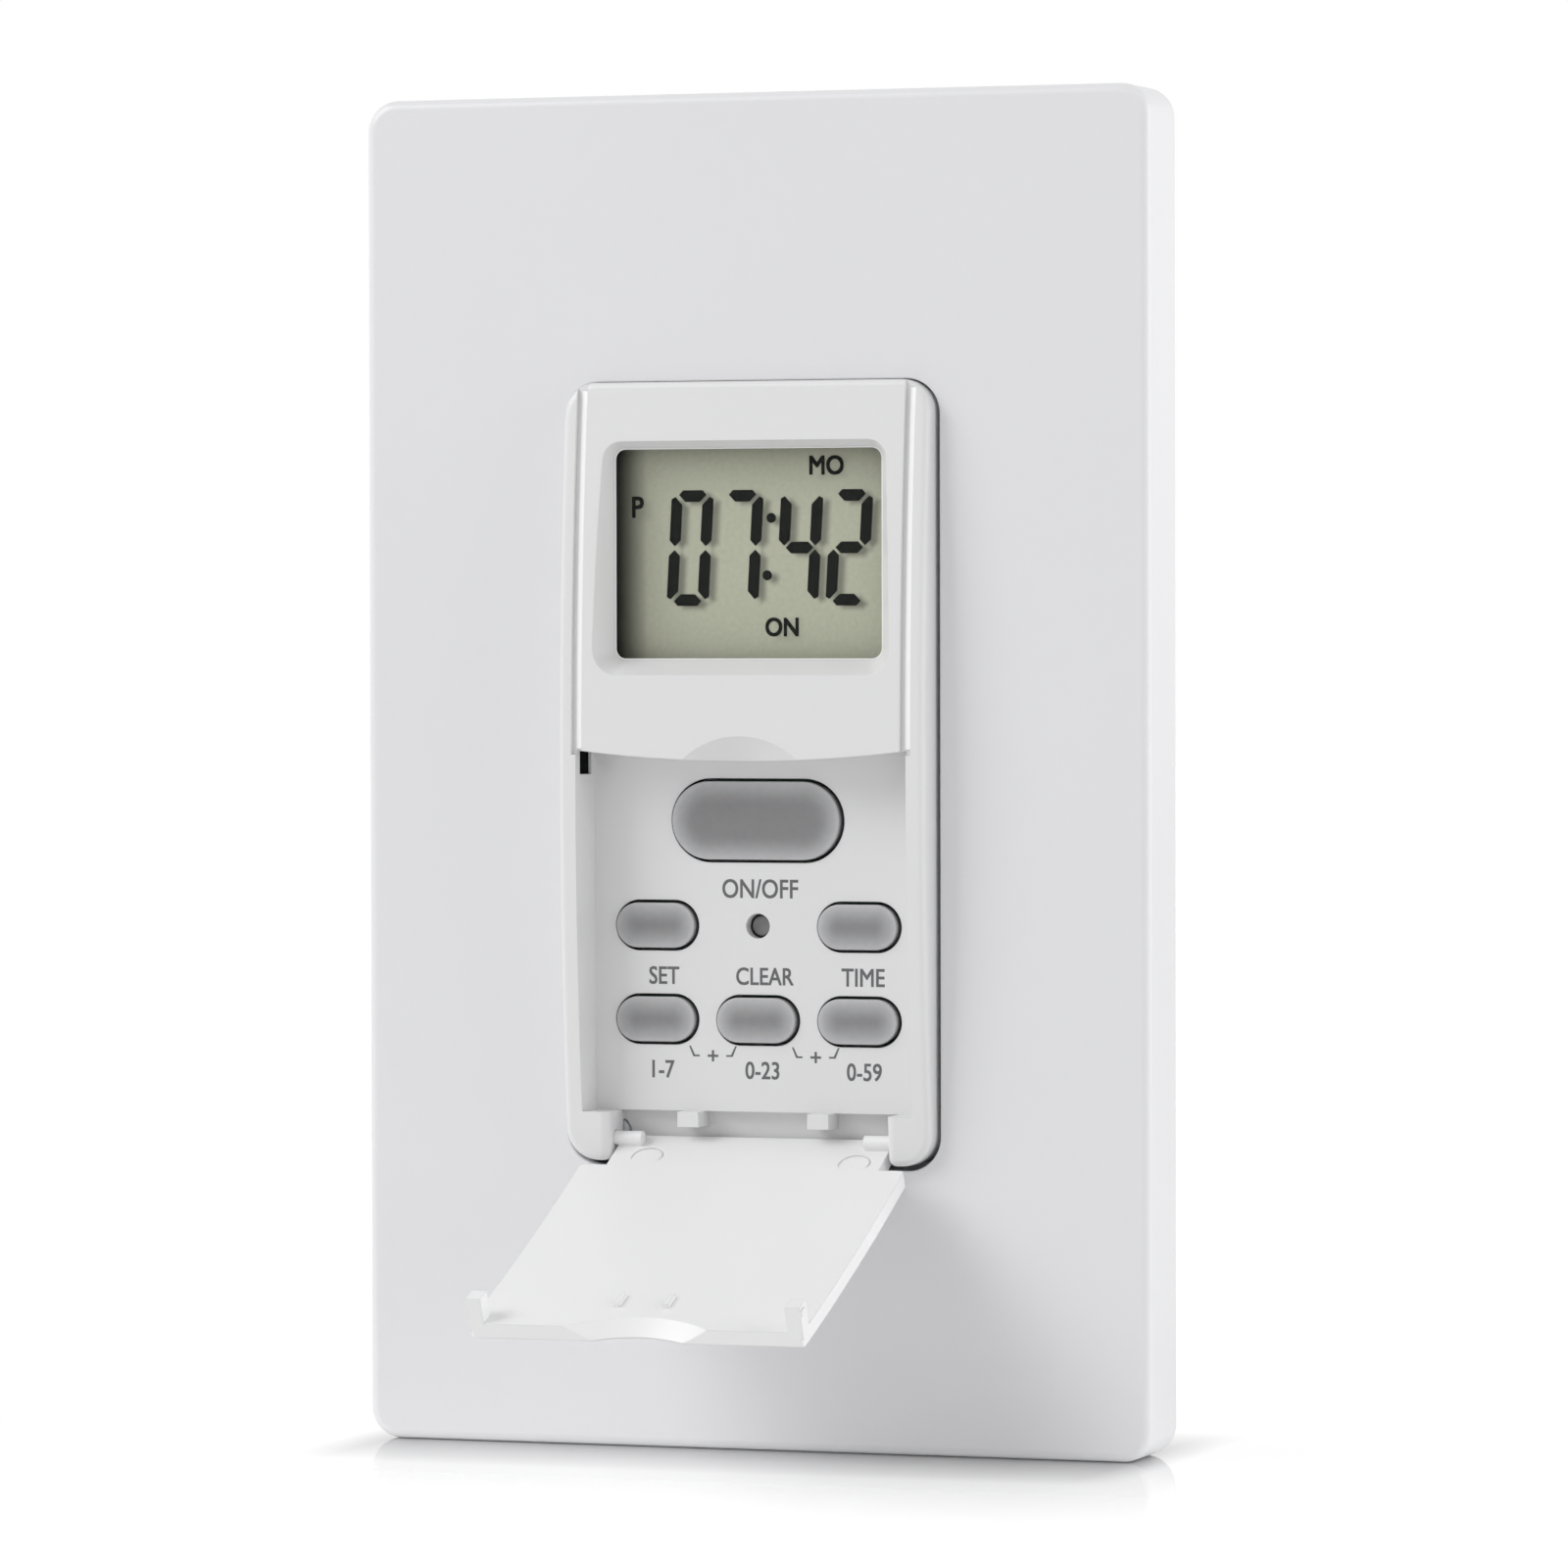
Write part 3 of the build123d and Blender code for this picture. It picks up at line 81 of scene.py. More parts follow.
def length(label, millimetres, about):
    """A size that a user may change."""
    return FloatProperty(name=label, description=about, default=millimetres * MM, min=0.0,
                         precision=5, unit="LENGTH")


def tint(label, colour, about):
    """A colour that a user may change."""
    return FloatVectorProperty(name=label, description=about, default=colour, size=3, min=0.0,
                               max=1.0, subtype="COLOR")


def share(label, value, about):
    """A plain number that a user may change."""
    return FloatProperty(name=label, description=about, default=value, min=0.0, max=5.0)


class PlateLook(bpy.types.PropertyGroup):
    """Sizes and colours of the wall plate and of the metal behind it."""
    colour: tint("Plate colour", (0.80, 0.80, 0.815), "Colour of the plate's plastic")
    corner_r: length("Corner radius", 2.7, "Radius of the plate's four corners")
    edge_r: length("Edge radius", 0.9, "Radius of the plate's front edge")
    opening_r: length("Opening radius", 2.9, "Radius of the opening's corners")
    opening_edge_r: length("Opening edge radius", 0.16, "Radius of the opening's front edge")
    side_gap: length("Side gap", 0.35, "Gap between the opening and the device at each side")
    top_gap: length("Top gap", 0.07, "Gap between the opening and the device at the top")
    low_gap: length("Bottom gap", 0.45, "Gap between the opening and the device at the bottom")
    wall: length("Wall", 1.6, "Thickness of the plate's wall")
    zinc: tint("Zinc", (0.55, 0.56, 0.57), "Colour of the plated steel")
    thread_pitch: length("Thread pitch", 0.8, "Pitch of the machine screws")


class DeviceLook(bpy.types.PropertyGroup):
    """Sizes and colours of the device's moulded parts."""
    colour: tint("Front colour", (0.785, 0.785, 0.79), "Colour of the front cover")
    lid: tint("Lid colour", (0.88, 0.88, 0.885), "Colour of the lid")
    # Painted shade: colour of the dark blocks in the lid's slots and of the linings in the key gaps, which
    # stand in for shade
    painted_shade: tint("Slot colour", (0.004, 0.004, 0.004), "Colour inside the slots that the lid snaps into")
    soft_edge: length("Soft edge", 0.13, "Radius left by the mould on the device's edges")
    housing: tint("Housing colour", (0.028, 0.028, 0.03), "Colour of the rear housing")
    board: tint("Board colour", (0.015, 0.10, 0.045), "Colour of the solder mask")


class DisplayLook(bpy.types.PropertyGroup):
    """Sizes, colours and words of the display."""
    time: StringProperty(name="Time", description="Four figures that the display shows", default="0742")
    film: tint("Film colour", (0.56, 0.575, 0.445), "Colour of the reflecting film")
    ink: tint("Segment colour", (0.012, 0.014, 0.012), "Colour of a driven segment")
    figure_w: length("Figure width", 3.75, "Width of a figure before it slants")
    figure_h: length("Figure height", 9.75, "Height of a figure")
    stroke: length("Stroke", 0.98, "Width of a segment")
    gap: length("Segment gap", 0.16, "Gap where two segments meet")
    slant: share("Slant", 0.055, "Run of a figure's slant for each unit of height")


class KeypadLook(bpy.types.PropertyGroup):
    """Sizes and colours of the keys and their labels."""
    middle: tint("Key middle", (0.24, 0.24, 0.245), "Colour of a key over its dark contact")
    edge: tint("Key edge", (0.50, 0.50, 0.51), "Colour of a key's edge, where light passes through")
    crown: length("Crown", 0.12, "Radius of a key's front edge")
    dish: length("Dome", 0.08, "Rise of a key's face between its edge and its middle")
    rim: length("Rim", 1.9, "Width of the paler band along a key's edge")
    lean: length("Lean", 0.11, "How far the keys sit to the left in their openings")
    ink: tint("Label colour", (0.13, 0.13, 0.135), "Colour of the printed labels")


class StageLook(bpy.types.PropertyGroup):
    """The lamps, the floor and the world."""
    key_power: FloatProperty(name="Key lamp", description="Power of the large lamp at the upper left",
                             default=10.9, min=0.0, unit="POWER")
    fill_power: FloatProperty(name="Side lamp", description="Power of the soft lamp at the right",
                              default=6.0, min=0.0, unit="POWER")
    ambient: share("Ambient", 0.5, "Strength of the white world on the object")
    floor_glow: share("Floor glow", 0.94, "How much whiter the camera sees the floor")
    floor_gloss: share("Floor gloss", 0.7, "Share of the floor that reflects at the plate's foot")
    contact: length("Contact shadow", 18.0, "How far the shadow at the plate's foot reaches")
    mirror: length("Reflection", 70.0, "How far the plate's reflection reaches")


LOOKS = {"plate": PlateLook, "device": DeviceLook, "display": DisplayLook, "keypad": KeypadLook,
         "stage": StageLook}


def look(name):
    """One of the scene's property groups."""
    return getattr(bpy.context.scene, "switch_" + name)


# Surfaces

def rounded_loops(half_w, half_h, radius, per_corner=9):
    """Rounded rectangles, one for each row.

    A corner's points are its centre plus the radius times (cos a, sin a), where a runs over
    a quarter turn, and the four corners follow each other round the loop.
    """
    quarter = np.linspace(0.0, math.pi / 2, per_corner)
    angle = np.concatenate([quarter + turn * math.pi / 2 for turn in range(4)])
    side_x = np.repeat([1.0, -1.0, -1.0, 1.0], per_corner)
    side_z = np.repeat([1.0, 1.0, -1.0, -1.0], per_corner)
    radius = radius[:, None]
    x = side_x * (half_w[:, None] - radius) + radius * np.cos(angle)
    z = side_z * (half_h[:, None] - radius) + radius * np.sin(angle)
    return x, z


def moulded_rows(rows, centre=(0.0, 0.0), per_corner=9):
    """A skin through rounded rectangles. A row holds half width, half height, corner radius and y."""
    half_w, half_h, radius, y = np.array(rows, dtype=float).T
    x, z = rounded_loops(half_w, half_h, radius, per_corner)
    depth = np.repeat(y[:, None], x.shape[1], axis=1)
    return np.stack([x + centre[0], depth, z + centre[1]], axis=2)


def grown_rows(half_w, half_h, radius, steps):
    """Rows of one rounded rectangle. A step holds how far it is grown and its y."""
    return [(half_w + out, half_h + out, radius + out, y) for out, y in steps]


def skin_faces(rows, columns, ring=False):
    """The quads of a grid that closes along its columns, and along its rows too if it is a ring."""
    last = rows if ring else rows - 1
    row = np.arange(last)[:, None]
    column = np.arange(columns)[None, :]
    after_row, after_column = (row + 1) % rows, (column + 1) % columns
    corners = [row * columns + column, row * columns + after_column,
               after_row * columns + after_column, after_row * columns + column]
    return np.stack(np.broadcast_arrays(*corners), axis=2).reshape(-1, 4).tolist()


def quarter_arc(count, radius):
    """A quarter round: how far in and how far back each point lies, from the side to the face."""
    angle = np.linspace(0.0, math.pi / 2, count)
    return radius * (1 - np.cos(angle)), radius * (1 - np.sin(angle))


def ring_skin(grid):
    """A grid that closes along its columns and its rows: its points and its faces."""
    return grid.reshape(-1, 3), skin_faces(*grid.shape[:2], ring=True)


def closed_skin(grid):
    """A grid that closes along its columns and has a flat end at its first and last row."""
    rows, columns = grid.shape[:2]
    first = np.arange(columns)
    ends = [first.tolist(), (first + (rows - 1) * columns).tolist()]
    return grid.reshape(-1, 3), skin_faces(rows, columns) + ends


def slab_points(outline, front_y, back_y):
    """A flat outline of (x, z) points as a thin closed slab: its points and its faces."""
    outline = np.asarray(outline, dtype=float)
    count = len(outline)
    front = np.column_stack([outline[:, 0], np.full(count, front_y), outline[:, 1]])
    back = front + [0.0, back_y - front_y, 0.0]
    ring = np.arange(count)
    after = (ring + 1) % count
    sides = np.stack([ring, after, after + count, ring + count], axis=1).tolist()
    return np.concatenate([front, back]), [ring.tolist(), (ring + count)[::-1].tolist()] + sides


def joined(parts):
    """Several lists of points and faces as one."""
    points, faces, start = [], [], 0
    for spots, polygons in parts:
        points.append(spots)
        faces += [[start + corner for corner in polygon] for polygon in polygons]
        start += len(spots)
    return np.concatenate(points), faces


# Pieces

MERGE_DIST = 0.001 * MM
SHARP_ANGLE = math.radians(28.0)
FRONT = Matrix(((1, 0, 0), (0, 0, -1), (0, 1, 0)))
RIGHT_SIDE = Matrix(((0, 0, 1), (1, 0, 0), (0, 1, 0)))
LEFT_SIDE = Matrix(((0, 0, -1), (-1, 0, 0), (0, 1, 0)))


def finished_mesh(name, mesh, dist=MERGE_DIST):
    """A copy of a mesh with its doubles merged and its faces turned outwards."""
    work = bmesh.new()
    work.from_mesh(mesh)
    bmesh.ops.remove_doubles(work, verts=work.verts, dist=dist)
    bmesh.ops.recalc_face_normals(work, faces=work.faces)
    finished = bpy.data.meshes.new(name)
    work.to_mesh(finished)
    work.free()
    return finished


def mesh_from(name, shape):
    """A finished mesh from points and faces."""
    points, faces = shape
    raw = bpy.data.meshes.new("raw")
    raw.from_pydata(np.asarray(points).tolist(), [], faces)
    mesh = finished_mesh(name, raw)
    bpy.data.meshes.remove(raw)
    return mesh


def vertex_places(mesh):
    """Where a mesh's vertices lie, one row for each."""
    places = np.empty(len(mesh.vertices) * 3)
    mesh.vertices.foreach_get("co", places)
    return places.reshape(-1, 3)


def add_piece(name, mesh, body, nodes=()):
    """Puts a mesh in the scene, on its body and in place of the nodes that it stands for."""
    mesh.polygons.foreach_set("use_smooth", np.ones(len(mesh.polygons), dtype=bool))
    mesh.set_sharp_from_angle(angle=SHARP_ANGLE)
    piece = bpy.data.objects.new(name, mesh)
    bpy.context.scene.collection.objects.link(piece)
    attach(piece, body)
    if nodes:
        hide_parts(*nodes)
    return piece


def piece_from(name, shape, body, nodes=()):
    """A piece from points and faces."""
    return add_piece(name, mesh_from(name, shape), body, nodes)


def flat_shading(piece):
    """Weights the normals by area, so that flat faces beside small rounds stay flat."""
    weighted = piece.modifiers.new("flat faces", "WEIGHTED_NORMAL")
    weighted.keep_sharp = True
    weighted.weight = 100


def letters(words, height, narrow=1.0, thickness=0.02 * MM, bold=0.0):
    """Words as points and faces about their own middle, height tall, with x along the line. Bold words
    are drawn four times, shifted by half of bold to each corner, each copy a little behind the last."""
    lift = 0.002 * MM
    curve = bpy.data.curves.new("words", "FONT")
    curve.body = words
    curve.extrude = 0.5
    curve.resolution_u = 4
    drawn = bpy.data.objects.new("words", curve)
    mesh = bpy.data.meshes.new_from_object(drawn)
    points = vertex_places(mesh)
    faces = [list(polygon.vertices) for polygon in mesh.polygons]
    bpy.data.objects.remove(drawn)
    bpy.data.curves.remove(curve)
    bpy.data.meshes.remove(mesh)
    low, high = points.min(axis=0), points.max(axis=0)
    scale = (height - bold) / (high[1] - low[1])
    points = (points - (low + high) / 2) * [scale * narrow, scale, thickness]
    if bold == 0.0:
        return points, faces
    corners = [(-1, -1), (1, -1), (-1, 1), (1, 1)]
    return joined([(points + [across * bold / 2, up * bold / 2, lift * layer], faces)
                   for layer, (across, up) in enumerate(corners)])


def plain_box(low, high):
    """A box between two corners."""
    xs, ys, zs = zip(low, high)
    points = np.array([(x, y, z) for x in xs for y in ys for z in zs])
    return points, [(0, 1, 3, 2), (4, 6, 7, 5), (0, 4, 5, 1), (2, 3, 7, 6), (0, 2, 6, 4), (1, 5, 7, 3)]


def placed(shape, turn, centre):
    """Points turned and moved to their place."""
    points, faces = shape
    return points @ np.array(turn).T + np.array(centre), faces


# Materials

# The colour sockets of a Mix node: its two inputs and its output
MIX_A, MIX_B, MIX_OUT = 6, 7, 2


def node_group(name, inputs, outputs):
    """An empty shader group with named sockets, and its first and last nodes."""
    group = bpy.data.node_groups.new(name, "ShaderNodeTree")
    for label, value in inputs:
        socket = group.interface.new_socket(label, in_out="INPUT", socket_type="NodeSocketFloat")
        socket.default_value = value
    for label in outputs:
        group.interface.new_socket(label, in_out="OUTPUT", socket_type="NodeSocketFloat")
    return group, group.nodes.new("NodeGroupInput"), group.nodes.new("NodeGroupOutput")


def feed(tree, value, socket):
    """Gives a socket its value, which is a number or another node's socket."""
    if isinstance(value, bpy.types.NodeSocket):
        tree.links.new(value, socket)
    else:
        socket.default_value = value


def noise_in(tree, vector, scale, detail=3.0):
    """A noise that reads a vector socket."""
    noise = tree.nodes.new("ShaderNodeTexNoise")
    noise.inputs["Detail"].default_value = detail
    feed(tree, vector, noise.inputs["Vector"])
    feed(tree, scale, noise.inputs["Scale"])
    return noise.outputs["Fac"]


def object_place(tree, stretch=None, turn=None):
    """The object's own coordinates, stretched and turned where that is asked for."""
    place = tree.nodes.new("ShaderNodeTexCoord").outputs["Object"]
    if stretch is None and turn is None:
        return place
    mapping = tree.nodes.new("ShaderNodeMapping")
    mapping.inputs["Scale"].default_value = stretch or (1.0, 1.0, 1.0)
    mapping.inputs["Rotation"].default_value = turn or (0.0, 0.0, 0.0)
    tree.links.new(place, mapping.inputs["Vector"])
    return mapping.outputs["Vector"]


def worked_out(tree, operation, one, other):
    """The result of a Math node on two values."""
    maths = tree.nodes.new("ShaderNodeMath")
    maths.operation = operation
    feed(tree, one, maths.inputs[0])
    feed(tree, other, maths.inputs[1])
    return maths.outputs[0]


def mould_group():
    """The fine grain that a mould leaves, and the faint clouding of a moulded or painted face."""
    if "mould texture" in bpy.data.node_groups:
        return bpy.data.node_groups["mould texture"]
    group, start, end = node_group("mould texture", [("Grain", 3000.0), ("Clouds", 60.0)],
                                   ["Height", "Cloud"])
    place = object_place(group)
    group.links.new(noise_in(group, place, start.outputs["Grain"]), end.inputs["Height"])
    group.links.new(noise_in(group, place, start.outputs["Clouds"], 5.0), end.inputs["Cloud"])
    return group


def plating_group():
    """Zinc plating: fine drawn lines across, and pale bloom in patches."""
    if "plating" in bpy.data.node_groups:
        return bpy.data.node_groups["plating"]
    group, start, end = node_group("plating", [("Lines", 900.0), ("Patches", 350.0)], ["Height", "Bloom"])
    lines = noise_in(group, object_place(group, stretch=(0.06, 1.0, 1.0)), start.outputs["Lines"], 4.0)
    bloom = noise_in(group, object_place(group), start.outputs["Patches"], 6.0)
    group.links.new(lines, end.inputs["Height"])
    group.links.new(bloom, end.inputs["Bloom"])
    return group


def use_group(tree, group, **values):
    """A shader group put into a material, with its values there."""
    used = tree.nodes.new("ShaderNodeGroup")
    used.node_tree = group
    for label, value in values.items():
        used.inputs[label].default_value = value
    return used.outputs


def grown(colour, factor=1.0):
    """A colour made lighter or darker, with its alpha."""
    return [min(1.0, part * factor) for part in colour[:3]] + [1.0]


def colour_mix(tree, factor, low, high, blend="MIX"):
    """Two colours mixed by a mask or a number."""
    mix = tree.nodes.new("ShaderNodeMix")
    mix.data_type = "RGBA"
    mix.blend_type = blend
    feed(tree, factor, mix.inputs[0])
    feed(tree, low, mix.inputs[MIX_A])
    feed(tree, high, mix.inputs[MIX_B])
    return mix.outputs[MIX_OUT]


def fit_range(tree, value, low, high, from_low=0.3, from_high=0.7):
    """A mask brought to a range."""
    ranged = tree.nodes.new("ShaderNodeMapRange")
    ranged.inputs["From Min"].default_value = from_low
    ranged.inputs["From Max"].default_value = from_high
    ranged.inputs["To Min"].default_value = low
    ranged.inputs["To Max"].default_value = high
    tree.links.new(value, ranged.inputs["Value"])
    return ranged.outputs["Result"]


def bumped(tree, shader, height, depth, edge_r=0.0):
    """Relief from a height, depth millimetres deep, over edges that look rounded by edge_r."""
    bump = tree.nodes.new("ShaderNodeBump")
    bump.inputs["Distance"].default_value = depth * MM
    tree.links.new(height, bump.inputs["Height"])
    if edge_r > 0.0:
        rounding = tree.nodes.new("ShaderNodeBevel")
        rounding.samples = 6
        rounding.inputs["Radius"].default_value = edge_r
        tree.links.new(rounding.outputs["Normal"], bump.inputs["Normal"])
    tree.links.new(bump.outputs["Normal"], shader.inputs["Normal"])


def new_finish(name, **values):
    """A new material, its tree and its shader, with values for the shader's sockets."""
    material = bpy.data.materials.new(name)
    material.use_nodes = True
    shader = material.node_tree.nodes["Principled BSDF"]
    for label, value in values.items():
        shader.inputs[label.replace("_", " ")].default_value = value
    return material, material.node_tree, shader


def plastic(name, colour, roughness=0.3, grain=3000.0, depth=0.002, clouds=60.0, cloud=0.02,
            spread=0.05, metallic=0.0, specular=0.5, subsurface=0.0, edge_r=0.0):
    """A moulded, painted or cast finish, with grain in its relief and clouds in its colour and gloss."""
    material, tree, shader = new_finish(name, Metallic=metallic, Specular_IOR_Level=specular,
                                        Subsurface_Weight=subsurface,
                                        Subsurface_Radius=(1.2 * MM, 1.1 * MM, 1.0 * MM))
    texture = use_group(tree, mould_group(), Grain=grain, Clouds=clouds)
    mask = fit_range(tree, texture["Cloud"], 0.0, 1.0, 0.1, 0.9)
    tree.links.new(colour_mix(tree, mask, grown(colour, 1 - cloud), grown(colour, 1 + cloud)),
                   shader.inputs["Base Color"])
    gloss = fit_range(tree, texture["Cloud"], roughness - spread, roughness + spread, 0.1, 0.9)
    tree.links.new(gloss, shader.inputs["Roughness"])
    bumped(tree, shader, texture["Height"], depth, edge_r)
    return material


def metal(name, colour, roughness=0.32, lines=900.0, depth=0.002, bloom=0.12, edge_r=0.0):
    """A plated, drawn or punched metal."""
    material, tree, shader = new_finish(name, Metallic=1.0)
    texture = use_group(tree, plating_group(), Lines=lines)
    mask = fit_range(tree, texture["Bloom"], 0.0, 1.0)
    tree.links.new(colour_mix(tree, mask, grown(colour, 1 - bloom), grown(colour, 1 + bloom)),
                   shader.inputs["Base Color"])
    gloss = fit_range(tree, texture["Bloom"], roughness - 0.08, roughness + 0.10)
    tree.links.new(gloss, shader.inputs["Roughness"])
    bumped(tree, shader, texture["Height"], depth, edge_r)
    return material


def attribute_finish(name, attribute, low, high, roughness, grain=4000.0, depth=0.002, speckle=0.03,
                     subsurface=0.0):
    """A finish whose colour runs between two by a mask that the mesh carries, with a fine speckle."""
    material, tree, shader = new_finish(name, Roughness=roughness, Subsurface_Weight=subsurface,
                                        Subsurface_Radius=(1.2 * MM, 1.2 * MM, 1.2 * MM))
    mask = tree.nodes.new("ShaderNodeAttribute")
    mask.attribute_name = attribute
    texture = use_group(tree, mould_group(), Grain=grain, Clouds=grain * 0.7)
    base = colour_mix(tree, mask.outputs["Fac"], grown(low), grown(high))
    grey = fit_range(tree, texture["Cloud"], 1 - speckle, 1 + speckle)
    tree.links.new(colour_mix(tree, 1.0, base, grey, "MULTIPLY"), shader.inputs["Base Color"])
    bumped(tree, shader, texture["Height"], depth)
    return material


def banded(name, low, high, roughness, scale, axis, depth, metallic=0.0):
    """A finish of fine bands across one axis, for wire turns."""
    material, tree, shader = new_finish(name, Metallic=metallic)
    wave = tree.nodes.new("ShaderNodeTexWave")
    wave.bands_direction = axis
    wave.inputs["Scale"].default_value = scale
    wave.inputs["Distortion"].default_value = 0.6
    tree.links.new(object_place(tree), wave.inputs["Vector"])
    band = wave.outputs["Fac"]
    tree.links.new(colour_mix(tree, band, grown(low), grown(high)), shader.inputs["Base Color"])
    tree.links.new(fit_range(tree, band, roughness, roughness + 0.15, 0.0, 1.0), shader.inputs["Roughness"])
    bumped(tree, shader, band, depth)
    return material


def circuit(name, mask_colour):
    """Solder mask over copper: tracks as the mortar of a brick pattern, over a woven ground."""
    material, tree, shader = new_finish(name)
    tracks = tree.nodes.new("ShaderNodeTexBrick")
    tree.links.new(object_place(tree, turn=(math.pi / 2, 0.0, 0.0)), tracks.inputs["Vector"])
    for label, value in (("Scale", 260.0), ("Mortar Size", 0.07), ("Mortar Smooth", 0.2),
                         ("Color1", grown(mask_colour)), ("Color2", grown(mask_colour, 1.25)),
                         ("Mortar", grown(mask_colour, 2.6))):
        tracks.inputs[label].default_value = value
    tree.links.new(tracks.outputs["Color"], shader.inputs["Base Color"])
    weave = noise_in(tree, object_place(tree), 4000.0)
    tree.links.new(fit_range(tree, weave, 0.25, 0.42), shader.inputs["Roughness"])
    bumped(tree, shader, tracks.outputs["Fac"], 0.02)
    return material


def clear(name, colour, roughness, alpha):
    """A clear pane, mostly see-through, with smears in its gloss."""
    material, tree, shader = new_finish(name, Base_Color=grown(colour), Alpha=alpha)
    smear = noise_in(tree, object_place(tree), 120.0, 4.0)
    tree.links.new(fit_range(tree, smear, roughness, roughness * 2.5), shader.inputs["Roughness"])
    return material


def paint(piece, material):
    """Gives a piece or a CAD node its finish in every material slot."""
    if not piece.material_slots:
        piece.data.materials.append(material)
    for slot in piece.material_slots:
        slot.material = material


def paint_nodes(material, *nodes):
    """Gives CAD nodes a finish."""
    for node in nodes:
        paint(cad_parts[node], material)


# Operators

class SWITCH_OT_wall_plate(bpy.types.Operator):
    """Wall plate: one skin that runs round the outside, over the face and back down the opening"""
    bl_idname = "switch.wall_plate"
    bl_label = "Wall plate"
    bl_options = {"REGISTER", "UNDO"}

    def execute(self, context):
        size = look("plate")
        low, high = span("wall_plate")
        half_w, half_h, front, back = high[0], high[2], low[1], high[1]
        cover = span("front_cover")[1]
        open_w = cover[0] + size.side_gap
        open_h = cover[2] + (size.top_gap + size.low_gap) / 2
        open_z = (size.top_gap - size.low_gap) / 2
        wall, foot = size.wall, 0.2 * MM
        inner = front + wall
        outside = [(-wall, back), (-foot, back), (0.0, back - foot)]
        outside += [(-into, front + behind) for into, behind in zip(*quarter_arc(9, size.edge_r))]
        edge_in, edge_back = quarter_arc(7, size.opening_edge_r)
        mouth = [(into, front + behind) for into, behind in zip(edge_in[::-1], edge_back[::-1])]
        mouth += [(0.0, inner - foot), (foot, inner)]
        grid = np.concatenate([
            moulded_rows(grown_rows(half_w, half_h, size.corner_r, outside), per_corner=13),
            moulded_rows(grown_rows(open_w, open_h, size.opening_r, mouth), (0.0, open_z), 13),
            moulded_rows(grown_rows(half_w, half_h, size.corner_r, [(-wall, inner)]), per_corner=13)])
        shape = joined([ring_skin(grid)] + self.catches(half_w - wall, half_h - wall, wall))
        plate = piece_from("plate_skin", shape, "case", ("wall_plate",))
        flat_shading(plate)
        paint(plate, plastic("satin plate plastic", size.colour, 0.31, grain=2600.0, depth=0.0012,
                             clouds=25.0, cloud=0.012, spread=0.03))
        return {"FINISHED"}

    def catches(self, in_w, in_h, wall):
        """The ribs inside the rim that snap behind the frame, as small rounded bars."""
        out, thick, round_r = 0.9 * MM, 0.8 * MM, 0.2 * MM
        long_half, short_half = 20 * MM, 4.5 * MM
        half_out, sunk = out / 2 + wall / 4, out / 2 - wall / 4
        front = span("mounting_strap")[0][1] + 0.2 * MM
        back = front + thick
        bars = [(side * (in_w - sunk), 0.0, half_out, long_half) for side in (-1, 1)]
        bars += [(side * in_w / 2, end * (in_h - sunk), short_half, half_out)
                 for side in (-1, 1) for end in (-1, 1)]
        shapes = []
        for x, z, w, h in bars:
            rows = [(w - round_r, h - round_r, round_r, front), (w, h, round_r, front + round_r),
                    (w, h, round_r, back - round_r), (w - round_r, h - round_r, round_r, back)]
            shapes.append(closed_skin(moulded_rows(rows, (x, z), 4)))
        return shapes


